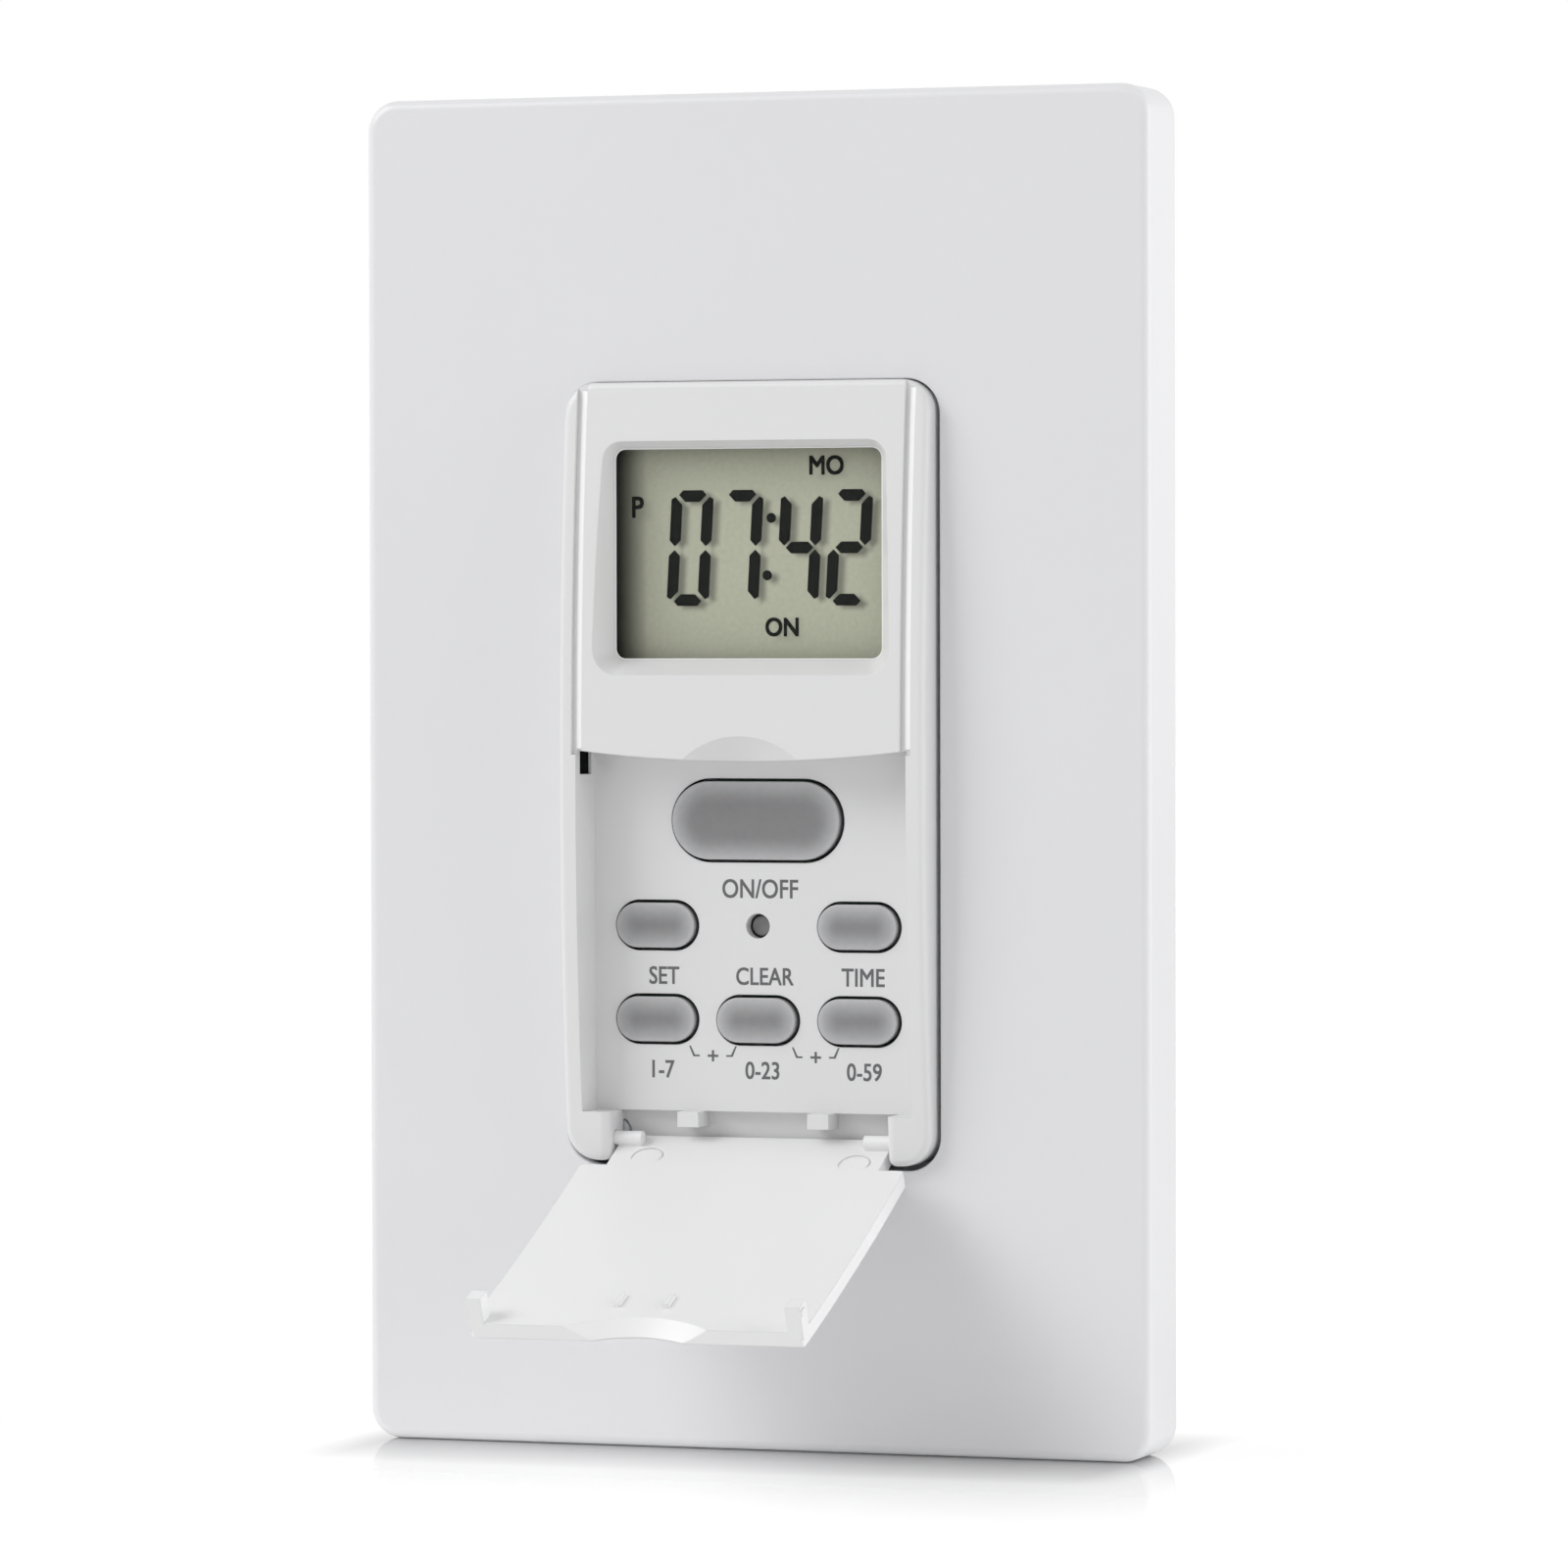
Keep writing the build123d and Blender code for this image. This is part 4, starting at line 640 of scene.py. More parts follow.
class SWITCH_OT_front(bpy.types.Operator):
    """Front cover and lid: their finishes, the grooves' slopes and the window's edge in whiter plastic as
    painted highlights, and painted shade in the slots and gaps
    """
    bl_idname = "switch.front"
    bl_label = "Front cover and lid"
    bl_options = {"REGISTER", "UNDO"}

    def execute(self, context):
        size = look("device")
        satin = {"grain": 3200.0, "depth": 0.001, "clouds": 30.0, "cloud": 0.01, "spread": 0.03,
                 "edge_r": size.soft_edge}
        paint_nodes(plastic("satin device plastic", size.colour, 0.31, **satin), "front_cover")
        paint_nodes(plastic("satin lid plastic", size.lid, 0.36, **satin), "lid")
        self.painted_shade_places()
        self.window_highlight_edge()
        # The slopes are whiter than the front: a real slope that catches the key lamp, with a painted
        # highlight in its colour.
        slope_highlight_plastic = plastic("groove slope painted highlight", (0.92, 0.92, 0.92), 0.36, depth=0.0005, cloud=0.01)
        for name, side in (("groove_slope_left", -1), ("groove_slope_right", 1)):
            slope = piece_from(name, self.groove_slope(side), "case")
            flat_shading(slope)
            paint(slope, slope_highlight_plastic)
        return {"FINISHED"}

    def groove_slope(self, side):
        """The sloped right wall of a long groove: a four-sided profile carried up the bowed front. At
        each height a ray finds the face, and the groove's floor lies behind it by the groove's depth.
        Near the top the slope sinks towards the floor in proportion to the height that is left."""
        cover = bmesh.new()
        cover.from_mesh(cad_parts["front_cover"].data)
        face = BVHTree.FromBMesh(cover)
        cover.free()
        centre = side * GROOVE_X
        left, right = centre - 0.1 * MM, centre + GROOVE_W / 2 + 0.02 * MM
        low_z, top_z = 2.0 * MM, span("front_cover")[1][2] - 0.7 * MM
        shy, end_share, taper = 0.015 * MM, 0.2, 1.5 * MM
        bulge_x, bulge_y = (left + right) / 2 + 0.04 * MM, 0.05 * MM
        beside, ahead = side * (GROOVE_X - GROOVE_W), -50 * MM
        loops = []
        for z in np.linspace(low_z, top_z, 40):
            face_y = face.ray_cast((beside, ahead, z), (0.0, 1.0, 0.0))[0][1]
            floor = face_y + GROOVE_D
            front = floor - (GROOVE_D - shy) * min(1.0, end_share + (top_z - z) / taper)
            loops.append([(left, floor, z), (bulge_x, (front + floor) / 2 - bulge_y, z), (right, front, z),
                          (right, floor, z)])
        return ring_skin(np.array(loops))

    def painted_shade_places(self):
        """Painted shade: dark blocks behind the two slots that the lid snaps into, and dark linings in the
        gaps round the keys, which stand in for the shade in these hollows.
        """
        near_x, far_x = 14.93 * MM, 15.6 * MM
        front, back = -9.68 * MM, -6.92 * MM
        low_z, high_z = -0.18 * MM, 1.73 * MM
        parts = [plain_box((side * near_x, front, low_z), (side * far_x, back, high_z)) for side in (-1, 1)]
        inside, outside, gap_front, gap_back = 0.15 * MM, 0.19 * MM, -5.97 * MM, -4.9 * MM
        steps = [(outside, gap_front), (outside, gap_back), (inside, gap_back), (inside, gap_front)]
        for key in KEYS:
            half_w, half_h, middle = front_size(key + "_key")
            parts.append(ring_skin(moulded_rows(grown_rows(half_w, half_h, half_h, steps), middle, 12)))
        painted_dark = plastic("painted shade inside", look("device").painted_shade, 0.8, specular=0.05)
        paint(piece_from("painted_shade_places", joined(parts), "case"), painted_dark)

    def window_highlight_edge(self):
        """A thin raised bead where the bevel round the window ends at the lens, in whiter plastic than the
        front: a real edge that catches light, with a painted highlight in its colour.
        """
        lip, line, proud, corner_r = 1.3 * MM, 0.13 * MM, 0.06 * MM, 1.0 * MM
        half_w, half_h, middle = front_size("display_window")
        lens_y = span("display_window")[0][1]
        front = lens_y - proud
        shoulder = front + line / 2
        steps = [(0.0, lens_y), (0.0, shoulder), (-line / 3, front), (-line, shoulder), (-line, lens_y)]
        shape = ring_skin(moulded_rows(grown_rows(half_w - lip, half_h - lip, corner_r, steps), middle))
        edge = piece_from("window_highlight_edge", shape, "case")
        paint(edge, plastic("painted highlight edge", (0.97, 0.97, 0.97), 0.15, depth=0.0005, cloud=0.01))


class SWITCH_OT_rear(bpy.types.Operator):
    """Rear housing, plate frame and strap, with plain figures by the terminals"""
    bl_idname = "switch.rear"
    bl_label = "Rear housing, frame and strap"
    bl_options = {"REGISTER", "UNDO"}

    def execute(self, context):
        housing = plastic("textured housing plastic", look("device").housing, 0.5, grain=1500.0, depth=0.02,
                          clouds=90.0, cloud=0.10, spread=0.08, edge_r=0.3 * MM)
        paint_nodes(housing, "rear_housing")
        paint_nodes(plastic("frame plastic", (0.68, 0.68, 0.67), 0.5, grain=2200.0, depth=0.006,
                            edge_r=0.15 * MM), "plate_frame")
        paint_nodes(metal("punched zinc plating", look("plate").zinc, edge_r=0.12 * MM), "mounting_strap")
        side_x = span("rear_housing")[1][0]
        low, high = span("terminal_screws")
        height, proud, up = 2.4 * MM, 0.3 * MM, 17.6 * MM
        parts = []
        for figure, side, z in (("1", 1, up), ("2", 1, -up), ("3", -1, up), ("4", -1, -up)):
            turn = RIGHT_SIDE if side > 0 else LEFT_SIDE
            place = (side * side_x, (low[1] + high[1]) / 2, z)
            parts.append(placed(letters(figure, height, thickness=proud), turn, place))
        paint(piece_from("terminal_figures", joined(parts), "case"), housing)
        return {"FINISHED"}


class SWITCH_OT_screws(bpy.types.Operator):
    """Screws, with their threads cut as one helix each"""
    bl_idname = "switch.screws"
    bl_label = "Screws"
    bl_options = {"REGISTER", "UNDO"}

    def execute(self, context):
        zinc = metal("zinc plating", look("plate").zinc)
        for node, radius in (("box_screws", 1.75 * MM), ("plate_frame_screws", 1.7 * MM)):
            self.threaded(node, radius, zinc)
        paint_nodes(zinc, "housing_screws", "control_board_screws", "power_board_screws")
        # The terminal plates and the relay's fixed contacts keep the plain brass that the frame gives them.
        paint_nodes(metal("brass screw", (0.66, 0.47, 0.20), 0.24, lines=1400.0), "terminal_screws")
        green = plastic("green screw plating", (0.02, 0.16, 0.05), 0.3, metallic=1.0, cloud=0.15)
        paint_nodes(green, "ground_screw")
        return {"FINISHED"}

    def threaded(self, node, radius, zinc):
        """A node's two screws, with shanks thinned to the core and a thread laid round each. A point of
        the shank moves towards the nearer screw's axis by the core's share of its distance."""
        raw = finished_mesh("raw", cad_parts[node].data, 2 * MERGE_DIST)
        places = vertex_places(raw)
        core, slack, end_gap = radius * 0.8, 0.02, 0.01 * MM
        low, high = span(node)
        head_r = np.ptp(places[:, 0]) / 2
        axes = [low[2] + head_r, high[2] - head_r]
        nearest = np.where(places[:, 2] > 0, axes[1], axes[0])
        away = np.hypot(places[:, 0], places[:, 2] - nearest)
        on_shank = away < radius * (1 + slack)
        head_back = places[~on_shank, 1].max()
        behind = on_shank & (places[:, 1] > head_back - end_gap)
        shrink = np.where(behind, np.minimum(1.0, core / np.maximum(away, core / 2)), 1.0)
        thread_start = places[behind & (away > radius * (1 - slack)), 1].min() + 0.3 * MM
        places[:, 0] *= shrink
        places[:, 2] = nearest + (places[:, 2] - nearest) * shrink
        raw.vertices.foreach_set("co", places.ravel())
        mesh = finished_mesh(node + "_heads", raw)
        bpy.data.meshes.remove(raw)
        paint(add_piece(node + "_cut", mesh, "case", (node,)), zinc)
        threads = [self.helix(z, thread_start, high[1] - 0.2 * MM, core, radius) for z in axes]
        paint(piece_from(node + "_threads", joined(threads), "case"), zinc)

    def helix(self, z, start, end, core, radius):
        """A thread: the point at angle a lies at (r cos a, pitch a / 2 pi, r sin a), with r and a
        small shift along the axis taken from a low three-sided profile. Over half a turn at each end
        the thread fades into the core."""
        pitch, root = look("plate").thread_pitch, core * 0.97
        turns = (end - start - pitch) / pitch
        angle = np.linspace(0.0, 2 * math.pi * turns, int(turns * 20))[:, None]
        fade = np.clip(np.minimum(angle, angle[::-1]) / math.pi, 0.05, 1.0)
        reach = root + (np.array([root, radius, root]) - root) * fade
        profile_shares = np.array([0.08, 0.5, 0.92])
        along = start + pitch * (angle / (2 * math.pi) + profile_shares)
        return closed_skin(np.stack([reach * np.cos(angle), along, z + reach * np.sin(angle)], axis=2))


class SWITCH_OT_keys(bpy.types.Operator):
    """Keys: silicone caps with a crowned edge, a shallow dome and a stem behind"""
    bl_idname = "switch.keys"
    bl_label = "Keys"
    bl_options = {"REGISTER", "UNDO"}

    def execute(self, context):
        size = look("keypad")
        rubber = attribute_finish("key silicone", "rim", size.middle, size.edge, 0.42, grain=2500.0,
                                  depth=0.004, subsurface=0.15)
        silicone = plastic("keypad silicone", (0.42, 0.42, 0.43), 0.5, subsurface=0.2)
        paint_nodes(silicone, "keypad_mat")
        for key in KEYS:
            self.cap(key, rubber)
            self.web_rim(key, silicone)
        paint_nodes(plastic("carbon rubber", (0.02, 0.02, 0.02), 0.6, depth=0.006),
                    "contact_strip", *[key + "_key_pill" for key in KEYS])
        paint_nodes(plastic("plunger plastic", (0.22, 0.22, 0.225), 0.4), "reset_plunger")
        return {"FINISHED"}

    def cap(self, key, rubber):
        """A key as rounded loops from its stem to its crown. A loop of the face lies inside the crown by
        a share r of the way to the middle, and is raised by dome (1 - (1 - r)^2). The mask is 1 on the
        sides and falls over the face as (1 - distance from the crown / rim)^1.5."""
        size = look("keypad")
        trim, stem, thick, crown_share = 0.05 * MM, 0.8 * MM, 1.8 * MM, 0.8
        low, high = span(key + "_key")
        half_w, half_h, (x, z) = front_size(key + "_key")
        half_w, half_h = half_w - trim, half_h - trim
        seat, crown_y = low[1] + thick, low[1] + size.dish
        steps = [(-stem, high[1]), (-stem, seat), (0.0, seat)]
        steps += [(-into, crown_y + crown_share * behind)
                  for into, behind in zip(*quarter_arc(10, size.crown))]
        share = np.linspace(0.0, 1.0, 14)[1:]
        into = (half_h - size.crown) * 0.93 * share
        rims = np.concatenate([np.ones(len(steps)), np.clip(1 - into / size.rim, 0.0, 1.0) ** 1.5])
        steps += list(zip(-size.crown - into, crown_y - size.dish * (1 - (1 - share) ** 2)))
        grid = moulded_rows(grown_rows(half_w, half_h, half_h, steps), (x - size.lean, z), 12)
        shape = closed_skin(grid)
        cap = piece_from(key + "_cap", shape, key + "_key", (key + "_key",))
        apart = np.linalg.norm(vertex_places(cap.data)[:, None, :] - shape[0][None, :, :], axis=2)
        mask = cap.data.attributes.new("rim", "FLOAT", "POINT")
        mask.data.foreach_set("value", np.repeat(rims, grid.shape[1])[apart.argmin(axis=1)])
        flat_shading(cap)
        paint(cap, rubber)

    def web_rim(self, key, silicone):
        """The part of a key's web that stays on the mat, with room inside it for the pressed key."""
        room = 0.08 * MM
        low, high = span(key + "_key_web")
        web_w, web_h, middle = front_size(key + "_key_web")
        key_w, key_h = front_size(key + "_key")[:2]
        rows = grown_rows(web_w, web_h, web_h, [(0.0, low[1]), (0.0, high[1])])
        rows += grown_rows(key_w, key_h, key_h, [(room, high[1]), (room, low[1])])
        shape = ring_skin(moulded_rows(rows, middle, 12))
        paint(piece_from(key + "_web_rim", shape, "case", (key + "_key_web",)), silicone)


class SWITCH_OT_labels(bpy.types.Operator):
    """Labels printed on the floor of the well, in plain generic words and figures"""
    bl_idname = "switch.labels"
    bl_label = "Key labels"
    bl_options = {"REGISTER", "UNDO"}

    def execute(self, context):
        floor_y = span("manual_key")[0][1] + 0.4 * MM
        manual_z, upper_z, lower_z, plus_z = -9.85, -17.24, -25.18, -24.0
        narrow, stroke, plus_h, plus_stroke = 0.84, 0.05 * MM, 0.95 * MM, 0.04 * MM
        words = [("ON/OFF", 0.2, manual_z, 1.62), ("SET", -8.42, upper_z, 1.52),
                 ("CLEAR", 0.6, upper_z, 1.5), ("TIME", 9.35, upper_z, 1.52), ("1-7", -8.52, lower_z, 1.5),
                 ("0-23", 0.36, lower_z, 1.5), ("0-59", 9.44, lower_z, 1.5)]
        parts = [placed(letters(text, height * MM, narrow, bold=stroke), FRONT, (x * MM, floor_y, z * MM))
                 for text, x, z, height in words]
        for left, right in ((-6.2, -1.92), (3.0, 7.25)):
            place = ((left + right) / 2 * MM, floor_y, plus_z * MM)
            parts.append(placed(letters("+", plus_h, bold=plus_stroke), FRONT, place))
            parts += self.bracket(left * MM, right * MM, floor_y)
        ink = plastic("label ink", look("keypad").ink, 0.45, grain=5000.0, depth=0.001, cloud=0.08)
        paint(piece_from("key_labels", joined(parts), "case"), ink)
        return {"FINISHED"}

    def bracket(self, left, right, floor_y):
        """Two bent ticks that tie a mark to the keys on both sides of it."""
        top, low, line, thin = -23.17 * MM, -24.07 * MM, 0.15 * MM, 0.01 * MM
        bend, end = 0.37 * MM, 0.95 * MM
        tick = np.array([(0.0, top), (line, top), (bend + line, low + line), (end, low + line), (end, low),
                         (bend, low)])
        return [slab_points(tick * [way, 1] + [edge, 0.0], floor_y - thin, floor_y + thin)
                for edge, way in ((left, 1), (right, -1))]


SEGMENTS = {"0": "abcdef", "1": "bc", "2": "abged", "3": "abgcd", "4": "fgbc", "5": "afgcd", "6": "afgedc",
            "7": "abc", "8": "abcdefg", "9": "abfgcd"}


class SWITCH_OT_display(bpy.types.Operator):
    """Display: slanted segments in the cell, their soft shadows painted on the film, and clear panes"""
    bl_idname = "switch.display"
    bl_label = "Display"
    bl_options = {"REGISTER", "UNDO"}

    def execute(self, context):
        size = look("display")
        cell_y = span("lcd_rear_glass")[0][1] - 0.02 * MM
        thin, narrow, stroke = 0.015 * MM, 0.9, 0.1 * MM
        bars = self.figures() + [self.dot(1.26 * MM, 21.39 * MM), self.dot(0.89 * MM, 16.56 * MM)]
        parts = [slab_points(bar, cell_y - thin, cell_y + thin) for bar in bars]
        half_letter, half_line = 0.55, 0.8
        boxes = []
        for text, x, z, height in (("P", -10.69, 22.36, 1.8), ("MO", 6.19, 25.79, 1.65),
                                   ("ON", 2.2, 12.21, 1.6)):
            mark = letters(text, height * MM, narrow, bold=stroke)
            parts.append(placed(mark, FRONT, (x * MM, cell_y, z * MM)))
            left, right = x - half_letter * len(text), x + half_letter * len(text)
            low, high = z - half_line, z + half_line
            boxes.append(np.array([(left, low), (right, low), (right, high), (left, high)]) * MM)
        ink = plastic("segment ink", size.ink, 0.6, grain=5000.0, depth=0.0005, cloud=0.2, specular=0.1)
        paint(piece_from("display_segments", joined(parts), "case", ("lcd_front_glass",)), ink)
        self.film(bars, boxes)
        paint_nodes(clear("clear lens", (0.02, 0.02, 0.02), 0.02, 0.04), "display_window")
        paint_nodes(plastic("plain film", size.film, 0.5, cloud=0.05), "lcd_reflector")
        paint_nodes(plastic("matt frame plastic", (0.68, 0.68, 0.67), 0.5, grain=2200.0, depth=0.006),
                    "lcd_holder")
        return {"FINISHED"}

    def bar_outlines(self):
        """The seven bars of an upright figure about its middle, from a at the top to g in the middle."""
        size = look("display")
        half = size.stroke / 2
        x, z, gap = (size.figure_w - size.stroke) / 2, (size.figure_h - size.stroke) / 2, size.gap
        across = np.array([(-x + gap, z + 0.2 * half), (-x + gap + 0.7 * half, z + half),
                           (x - gap - 0.7 * half, z + half), (x - gap, z + 0.2 * half),
                           (x - gap - 1.2 * half, z - half), (-x + gap + 1.2 * half, z - half)])
        middle = np.array([(-x + gap, 0.0), (-x + gap + half, half), (x - gap - half, half), (x - gap, 0.0),
                           (x - gap - half, -half), (-x + gap + half, -half)])
        upright = np.array([(x, gap), (x + half, gap + half), (x + half, z - gap - 0.2 * half),
                            (x + 0.3 * half, z - gap + 0.2 * half), (x - half, z - gap - 1.2 * half),
                            (x - half, gap + half)])
        flip_x, flip_z = np.array([-1.0, 1.0]), np.array([1.0, -1.0])
        return {"a": across, "b": upright, "c": upright * flip_z, "d": across * flip_z,
                "e": upright * flip_x * flip_z, "f": upright * flip_x, "g": middle}

    def figures(self):
        """The bars that the time lights. A point at height z moves right by slant times z, and then the
        figure goes to its place."""
        size = look("display")
        outlines = self.bar_outlines()
        middle_z = 18.88 * MM
        bars = []
        for figure, x in zip(size.time, (-6.0 * MM, -1.54 * MM, 3.78 * MM, 8.2 * MM)):
            for name in SEGMENTS[figure]:
                across, up = outlines[name].T
                bars.append(np.stack([across + size.slant * up + x, up + middle_z], axis=1))
        return bars

    def dot(self, x, z):
        """A dot between hours and minutes: points at (x + r cos a, z + r sin a)."""
        radius = 0.42 * MM
        angle = np.linspace(0.0, 2 * math.pi, 20, endpoint=False)
        return np.stack([x + radius * np.cos(angle), z + radius * np.sin(angle)], axis=1)

    def shadow(self, x, z, outline, painted_dark, blur):
        """A painted shadow: how much light the film at (x, z) keeps beside a convex outline. The outline's
        shadow is shifted by a fixed offset towards where the lamp throws it, a point's distance is taken to
        the farthest edge line, and the light falls by a smooth step over that distance."""
        shift = np.array([0.62 * MM, -0.26 * MM])
        moved = outline + shift
        ahead = np.roll(moved, -1, axis=0)
        run = ahead - moved
        turn = np.sign(np.sum(moved[:, 0] * ahead[:, 1] - ahead[:, 0] * moved[:, 1]))
        normal = turn * np.stack([run[:, 1], -run[:, 0]], axis=1) / np.linalg.norm(run, axis=1)[:, None]
        normal, start = normal[:, :, None, None], moved[:, :, None, None]
        away = np.max(normal[:, 0] * (x - start[:, 0]) + normal[:, 1] * (z - start[:, 1]), axis=0)
        soft = np.clip((blur - away) / (2 * blur), 0.0, 1.0)
        return 1 - painted_dark * soft ** 2 * (3 - 2 * soft)

    def film(self, bars, boxes):
        """The reflecting film as a fine grid. Its mask is painted shade: it falls in the shadow of each bar
        and word, and towards the left and top edges of the window, where the window's walls shade the film."""
        size = look("display")
        low, high = span("lcd_rear_glass")
        columns, rows = 250, 210
        x, z = np.meshgrid(np.linspace(low[0], high[0], columns), np.linspace(low[2], high[2], rows))
        painted_shade = np.ones_like(x)
        for bar in bars:
            painted_shade *= self.shadow(x, z, bar, 0.58, 0.34 * MM)
        for box in boxes:
            painted_shade *= self.shadow(x, z, box, 0.16, 0.5 * MM)
        window_low, window_high = span("display_window")
        # Painted shade towards the left and top edges of the window.
        left = np.clip((x - (window_low[0] + 0.7 * MM)) / (2.7 * MM), 0.0, 1.0)
        top = np.clip(((window_high[2] - 1.3 * MM) - z) / (1.6 * MM), 0.0, 1.0)
        left_shade, top_shade = 0.04, 0.75
        painted_shade *= left_shade + (1 - left_shade) * left ** 1.2
        painted_shade *= top_shade + (1 - top_shade) * (1 - (1 - top) ** 2)
        front = np.stack([x, np.full_like(x, low[1]), z], axis=2).reshape(-1, 3)
        rim = np.array([(low[0], high[1], low[2]), (high[0], high[1], low[2]), (high[0], high[1], high[2]),
                        (low[0], high[1], high[2])])
        place = np.arange(rows * columns).reshape(rows, columns)
        faces = np.stack([place[:-1, :-1], place[:-1, 1:], place[1:, 1:], place[1:, :-1]], axis=2)
        start = rows * columns
        walls = [[start, start + 1, *place[0, ::-1].tolist()],
                 [start + 2, start + 3, *place[-1].tolist()],
                 [start + 1, start + 2, *place[::-1, -1].tolist()],
                 [start + 3, start, *place[:, 0].tolist()],
                 [start, start + 3, start + 2, start + 1]]
        mesh = bpy.data.meshes.new("display_film")
        mesh.from_pydata(np.concatenate([front, rim]).tolist(), [], faces.reshape(-1, 4).tolist() + walls)
        mask = mesh.attributes.new("painted_shade", "FLOAT", "POINT")
        mask.data.foreach_set("value", np.concatenate([painted_shade.ravel(), np.full(len(rim), 0.5)]))
        film = add_piece("display_film", mesh, "case", ("lcd_rear_glass",))
        paint(film, attribute_finish("reflecting film", "painted_shade", (0.004, 0.004, 0.004), size.film, 0.55,
                                     grain=3500.0, depth=0.004, speckle=0.05))


class SWITCH_OT_electronics(bpy.types.Operator):
    """Finishes of the boards, the parts on them and the relay"""
    bl_idname = "switch.electronics"
    bl_label = "Boards and relay"
    bl_options = {"REGISTER", "UNDO"}

    def execute(self, context):
        paint_nodes(circuit("solder mask", look("device").board), "control_board", "power_board")
        black = plastic("black moulding", (0.02, 0.02, 0.021), 0.4, grain=2500.0, depth=0.006, cloud=0.1)
        paint_nodes(black, "microcontroller", "battery_holder", "relay_base", "relay_bobbin", "diodes",
                    "board_link", "reset_switch")
        nickel = metal("nickel", (0.66, 0.65, 0.62), 0.22, lines=1600.0)
        paint_nodes(nickel, "clock_crystal", "backup_battery")
        paint_nodes(metal("soft iron", (0.48, 0.48, 0.47), 0.38), "relay_yoke", "relay_armature")
        winding = banded("enamelled winding", (0.30, 0.09, 0.03), (0.62, 0.26, 0.10), 0.25, 1500.0, "Y",
                         0.05, metallic=1.0)
        paint_nodes(winding, "relay_coil")
        varistor = plastic("varistor dip", (0.02, 0.09, 0.33), 0.35, grain=900.0, depth=0.03, cloud=0.08)
        paint_nodes(varistor, "varistor")
        for node, name, colour, roughness, cloud in (
                ("relay_cover", "relay cover plastic", (0.02, 0.055, 0.25), 0.3, 0.05),
                ("film_capacitor", "film capacitor case", (0.62, 0.42, 0.03), 0.38, 0.06),
                ("filter_capacitors", "capacitor sleeve", (0.015, 0.02, 0.06), 0.28, 0.08),
                ("fuse_resistor", "resistor lacquer", (0.20, 0.30, 0.38), 0.35, 0.08)):
            paint_nodes(plastic(name, colour, roughness, cloud=cloud), node)
        return {"FINISHED"}


# The camera that the photograph was taken with, in the part's frame: its place in metres, its angles in
# radians and its lens and sensor in millimetres
CAMERA_PLACE = (225.34 * MM, -641.54 * MM, 12.85 * MM)
CAMERA_YAW, CAMERA_PITCH, CAMERA_ROLL = 0.3375, 0.02057, -0.0021
CAMERA_LENS, CAMERA_SENSOR = 183.77, 36.0


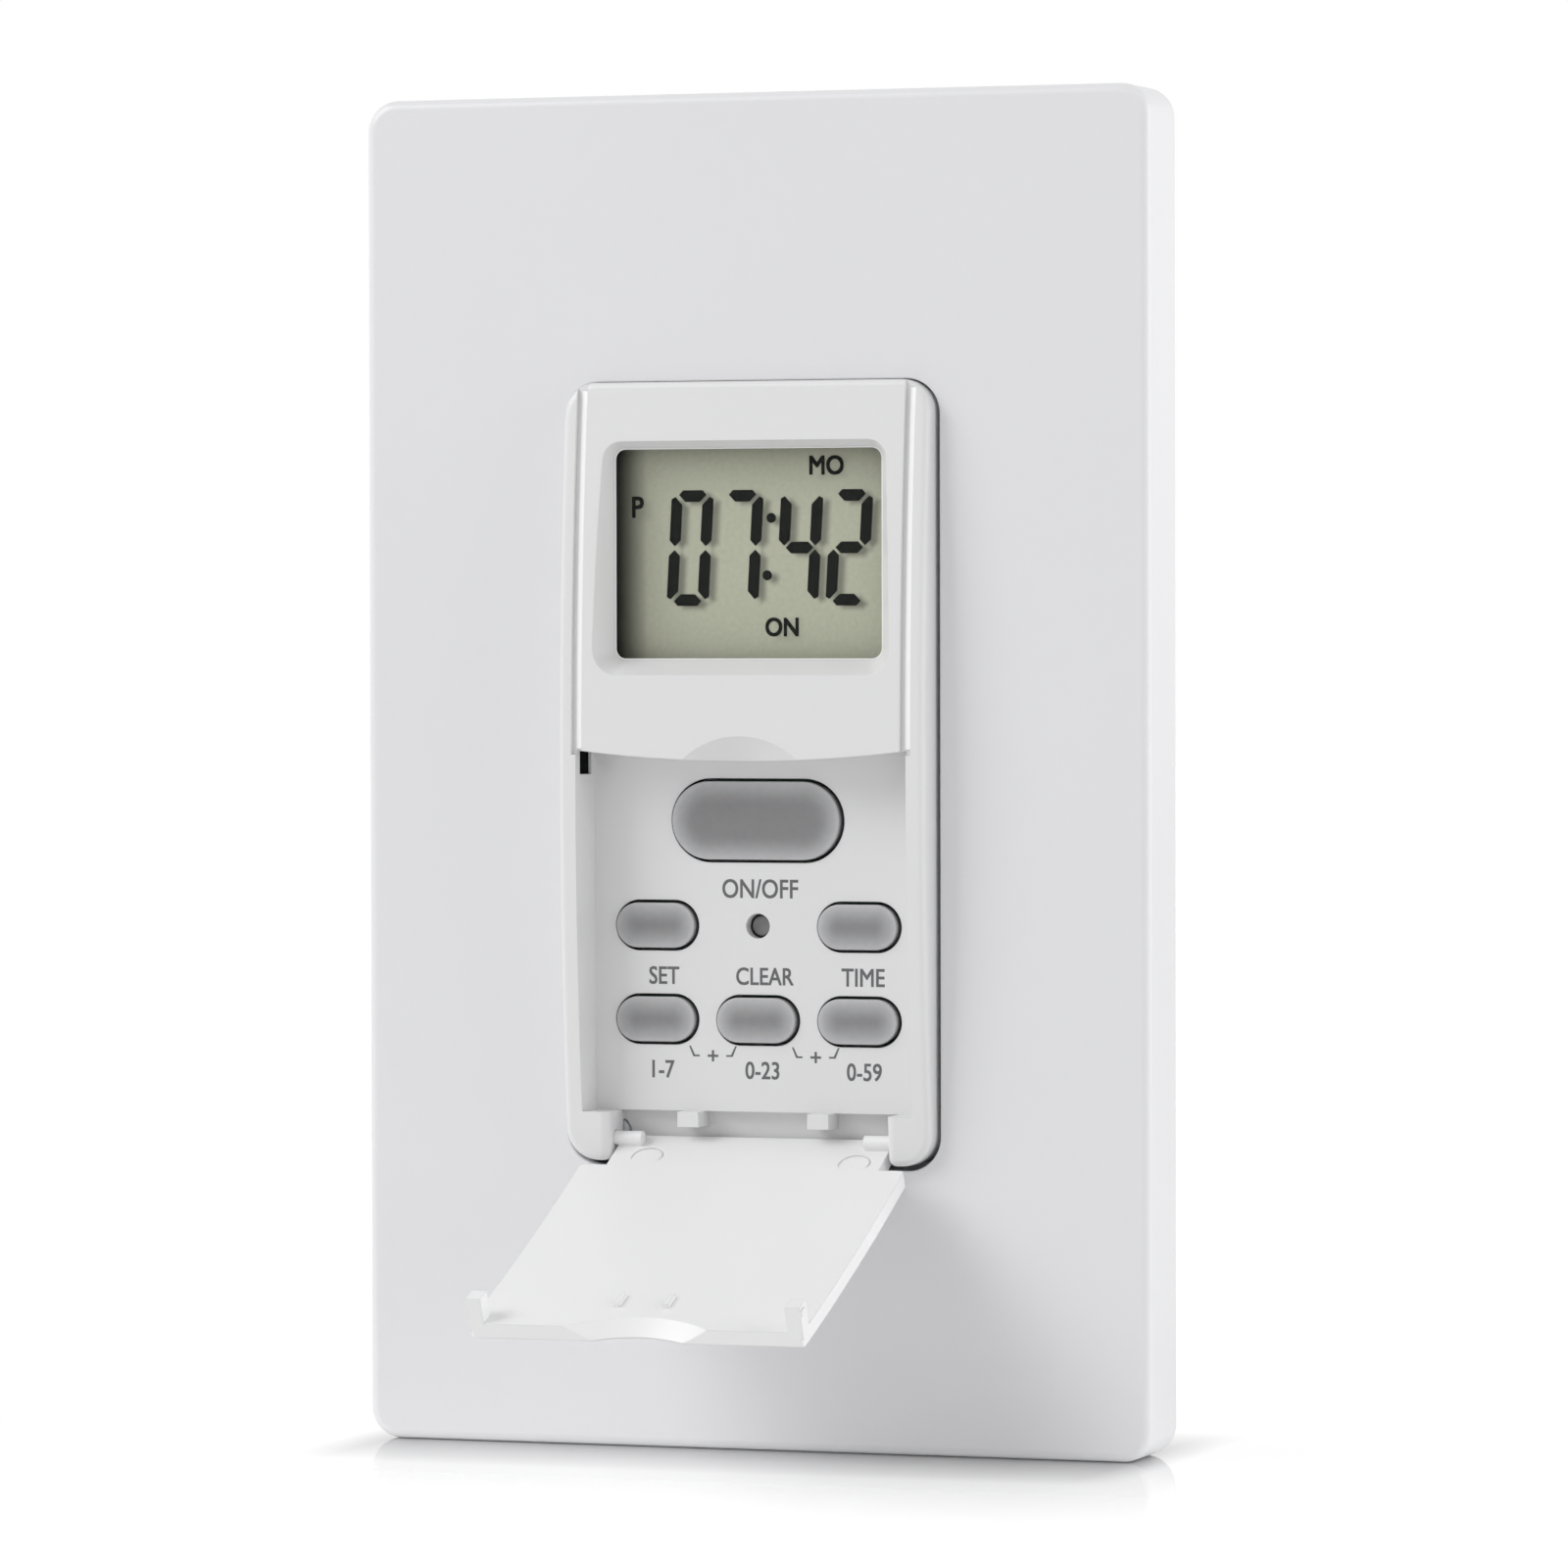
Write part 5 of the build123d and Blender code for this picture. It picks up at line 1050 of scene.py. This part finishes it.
class SWITCH_OT_stage(bpy.types.Operator):
    """Stage: the glossy white floor, the lamps, the white world and the camera"""
    bl_idname = "switch.stage"
    bl_label = "Stage"
    bl_options = {"REGISTER", "UNDO"}

    def execute(self, context):
        context.scene.view_settings.view_transform = "Standard"
        self.floor()
        self.world()
        power = look("stage")
        self.lamp("key_lamp", (-0.95, -0.73, 0.87), 0.9, power.key_power)
        self.lamp("side_lamp", (1.0, 0.06, 0.15), 0.8, power.fill_power)
        self.camera()
        return {"FINISHED"}

    def floor(self):
        """A wide pale floor under the plate, which the camera sees a little whiter than it is lit."""
        top, thick, reach = span("wall_plate")[0][2], 2 * MM, 3.0
        edge = [(-reach, top - thick), (reach, top - thick), (reach, top), (-reach, top)]
        mesh = mesh_from("stage_floor_top", slab_points(edge, -reach, reach))
        floor = bpy.data.objects.new("stage_floor", mesh)
        bpy.context.scene.collection.objects.link(floor)
        paint(floor, self.floor_finish())

    def floor_finish(self):
        """Diffuse light with a glow that only the camera sees, mixed with a mirror at the plate's foot."""
        size = look("stage")
        lit, seen_lit, mirrored = (0.9, 0.9, 0.9, 1.0), (0.26, 0.26, 0.26, 1.0), (0.94, 0.94, 0.94, 1.0)
        material, tree, shader = new_finish("glossy white floor")
        tree.nodes.remove(shader)
        plain, glow = tree.nodes.new("ShaderNodeBsdfDiffuse"), tree.nodes.new("ShaderNodeEmission")
        gloss, path = tree.nodes.new("ShaderNodeBsdfAnisotropic"), tree.nodes.new("ShaderNodeLightPath")
        both, mixed = tree.nodes.new("ShaderNodeAddShader"), tree.nodes.new("ShaderNodeMixShader")
        gloss.inputs["Roughness"].default_value = 0.06
        gloss.inputs["Color"].default_value = mirrored
        seen = path.outputs["Is Camera Ray"]
        clear_of, mirror = self.foot_masks(tree, size.contact, size.mirror)
        # Painted contact shadow: the glow that the camera sees dims towards the plate's foot, on top of the
        # real shadow in the diffuse part.
        white = fit_range(tree, clear_of, 0.0, size.floor_glow, 0.0, 1.0)
        for value, socket in (
                (colour_mix(tree, seen, lit, seen_lit), plain.inputs["Color"]),
                (worked_out(tree, "MULTIPLY", white, seen), glow.inputs["Strength"]),
                (plain.outputs[0], both.inputs[0]), (glow.outputs[0], both.inputs[1]),
                (fit_range(tree, mirror, 0.0, size.floor_gloss, 0.0, 1.0), mixed.inputs[0]),
                (both.outputs[0], mixed.inputs[1]), (gloss.outputs[0], mixed.inputs[2]),
                (mixed.outputs[0], tree.nodes["Material Output"].inputs["Surface"])):
            tree.links.new(value, socket)
        return material

    def foot_masks(self, tree, contact, mirror):
        """Two masks on the floor, by the distance to the plate's foot: the first is 0 at the foot and 1
        clear of its painted contact shadow, and the second is 1 at the foot and 0 past the reflection."""
        low, high = span("wall_plate")
        half_d, middle, soft = (high[1] - low[1]) / 2, (high[1] + low[1]) / 2, 2 * MM
        parts = tree.nodes.new("ShaderNodeSeparateXYZ")
        tree.links.new(object_place(tree), parts.inputs[0])
        across = worked_out(tree, "ABSOLUTE", parts.outputs["X"], 0.0)
        ahead = worked_out(tree, "ABSOLUTE", worked_out(tree, "SUBTRACT", parts.outputs["Y"], middle), 0.0)
        side = fit_range(tree, across, 1.0, 0.0, high[0] - soft, high[0] + soft)
        near = fit_range(tree, ahead, 1.0, 0.0, half_d, half_d + contact)
        shadow = worked_out(tree, "MULTIPLY", near, side)
        return (worked_out(tree, "SUBTRACT", 1.0, shadow),
                fit_range(tree, ahead, 1.0, 0.0, half_d, half_d + mirror))

    def world(self):
        """White to the camera, to gloss and to glass, and a softer white to the rest."""
        world = bpy.data.worlds.new("white room")
        bpy.context.scene.world = world
        world.use_nodes = True
        tree = world.node_tree
        back = tree.nodes["Background"]
        back.inputs["Color"].default_value = (1.0, 1.0, 1.0, 1.0)
        path = tree.nodes.new("ShaderNodeLightPath")
        seen = path.outputs["Is Camera Ray"]
        for ray in ("Is Glossy Ray", "Is Transmission Ray"):
            seen = worked_out(tree, "MAXIMUM", seen, path.outputs[ray])
        tree.links.new(fit_range(tree, seen, look("stage").ambient, 1.0, 0.0, 1.0), back.inputs["Strength"])

    def lamp(self, name, place, size, power):
        """A square soft lamp that looks at the middle of the plate."""
        light = bpy.data.lights.new(name, "AREA")
        light.size = size
        light.energy = power
        lamp = bpy.data.objects.new(name, light)
        lamp.location = place
        lamp.rotation_euler = (-Vector(place)).to_track_quat("-Z", "Y").to_euler()
        bpy.context.scene.collection.objects.link(lamp)

    def camera(self):
        """The photograph's viewpoint: yaw about Z, then pitch, then a small roll."""
        yaw, pitch = CAMERA_YAW, CAMERA_PITCH
        ahead = Vector((-math.sin(yaw) * math.cos(pitch), math.cos(yaw) * math.cos(pitch), -math.sin(pitch)))
        right = Vector((math.cos(yaw), math.sin(yaw), 0.0))
        up = right.cross(ahead)
        cos_roll, sin_roll = math.cos(CAMERA_ROLL), math.sin(CAMERA_ROLL)
        right, up = cos_roll * right + sin_roll * up, cos_roll * up - sin_roll * right
        data = bpy.data.cameras.new("photo_camera")
        data.lens = CAMERA_LENS
        data.sensor_width = CAMERA_SENSOR
        data.sensor_fit = "HORIZONTAL"
        data.clip_start = 0.02
        data.clip_end = 20.0
        camera = bpy.data.objects.new("photo_camera", data)
        turn = Matrix((right, up, -ahead)).transposed().to_4x4()
        camera.matrix_world = Matrix.Translation(CAMERA_PLACE) @ turn
        bpy.context.scene.collection.objects.link(camera)
        bpy.context.scene.camera = camera


OPERATORS = (SWITCH_OT_wall_plate, SWITCH_OT_front, SWITCH_OT_rear, SWITCH_OT_screws, SWITCH_OT_keys,
             SWITCH_OT_labels, SWITCH_OT_display, SWITCH_OT_electronics, SWITCH_OT_stage)


class SWITCH_PT_panel(bpy.types.Panel):
    """Lists the pieces and the sizes and colours that they use"""
    bl_idname = "SWITCH_PT_panel"
    bl_label = "Timer light switch"
    bl_space_type = "VIEW_3D"
    bl_region_type = "UI"
    bl_category = "Timer switch"

    def draw(self, context):
        for operator in OPERATORS:
            self.layout.operator(operator.bl_idname)
        for name in LOOKS:
            group = getattr(context.scene, "switch_" + name)
            box = self.layout.box()
            box.label(text=name.capitalize())
            for field in group.__annotations__:
                box.prop(group, field)


def register():
    for name, group in LOOKS.items():
        bpy.utils.register_class(group)
        setattr(bpy.types.Scene, "switch_" + name, PointerProperty(type=group))
    for operator in OPERATORS:
        bpy.utils.register_class(operator)
    bpy.utils.register_class(SWITCH_PT_panel)


def unregister():
    bpy.utils.unregister_class(SWITCH_PT_panel)
    for operator in reversed(OPERATORS):
        bpy.utils.unregister_class(operator)
    for name, group in LOOKS.items():
        delattr(bpy.types.Scene, "switch_" + name)
        bpy.utils.unregister_class(group)


def main():
    register()
    bpy.ops.switch.wall_plate()
    bpy.ops.switch.front()
    bpy.ops.switch.rear()
    bpy.ops.switch.screws()
    bpy.ops.switch.keys()
    bpy.ops.switch.labels()
    bpy.ops.switch.display()
    bpy.ops.switch.electronics()
    bpy.ops.switch.stage()


if __name__ == "__main__":
    main()
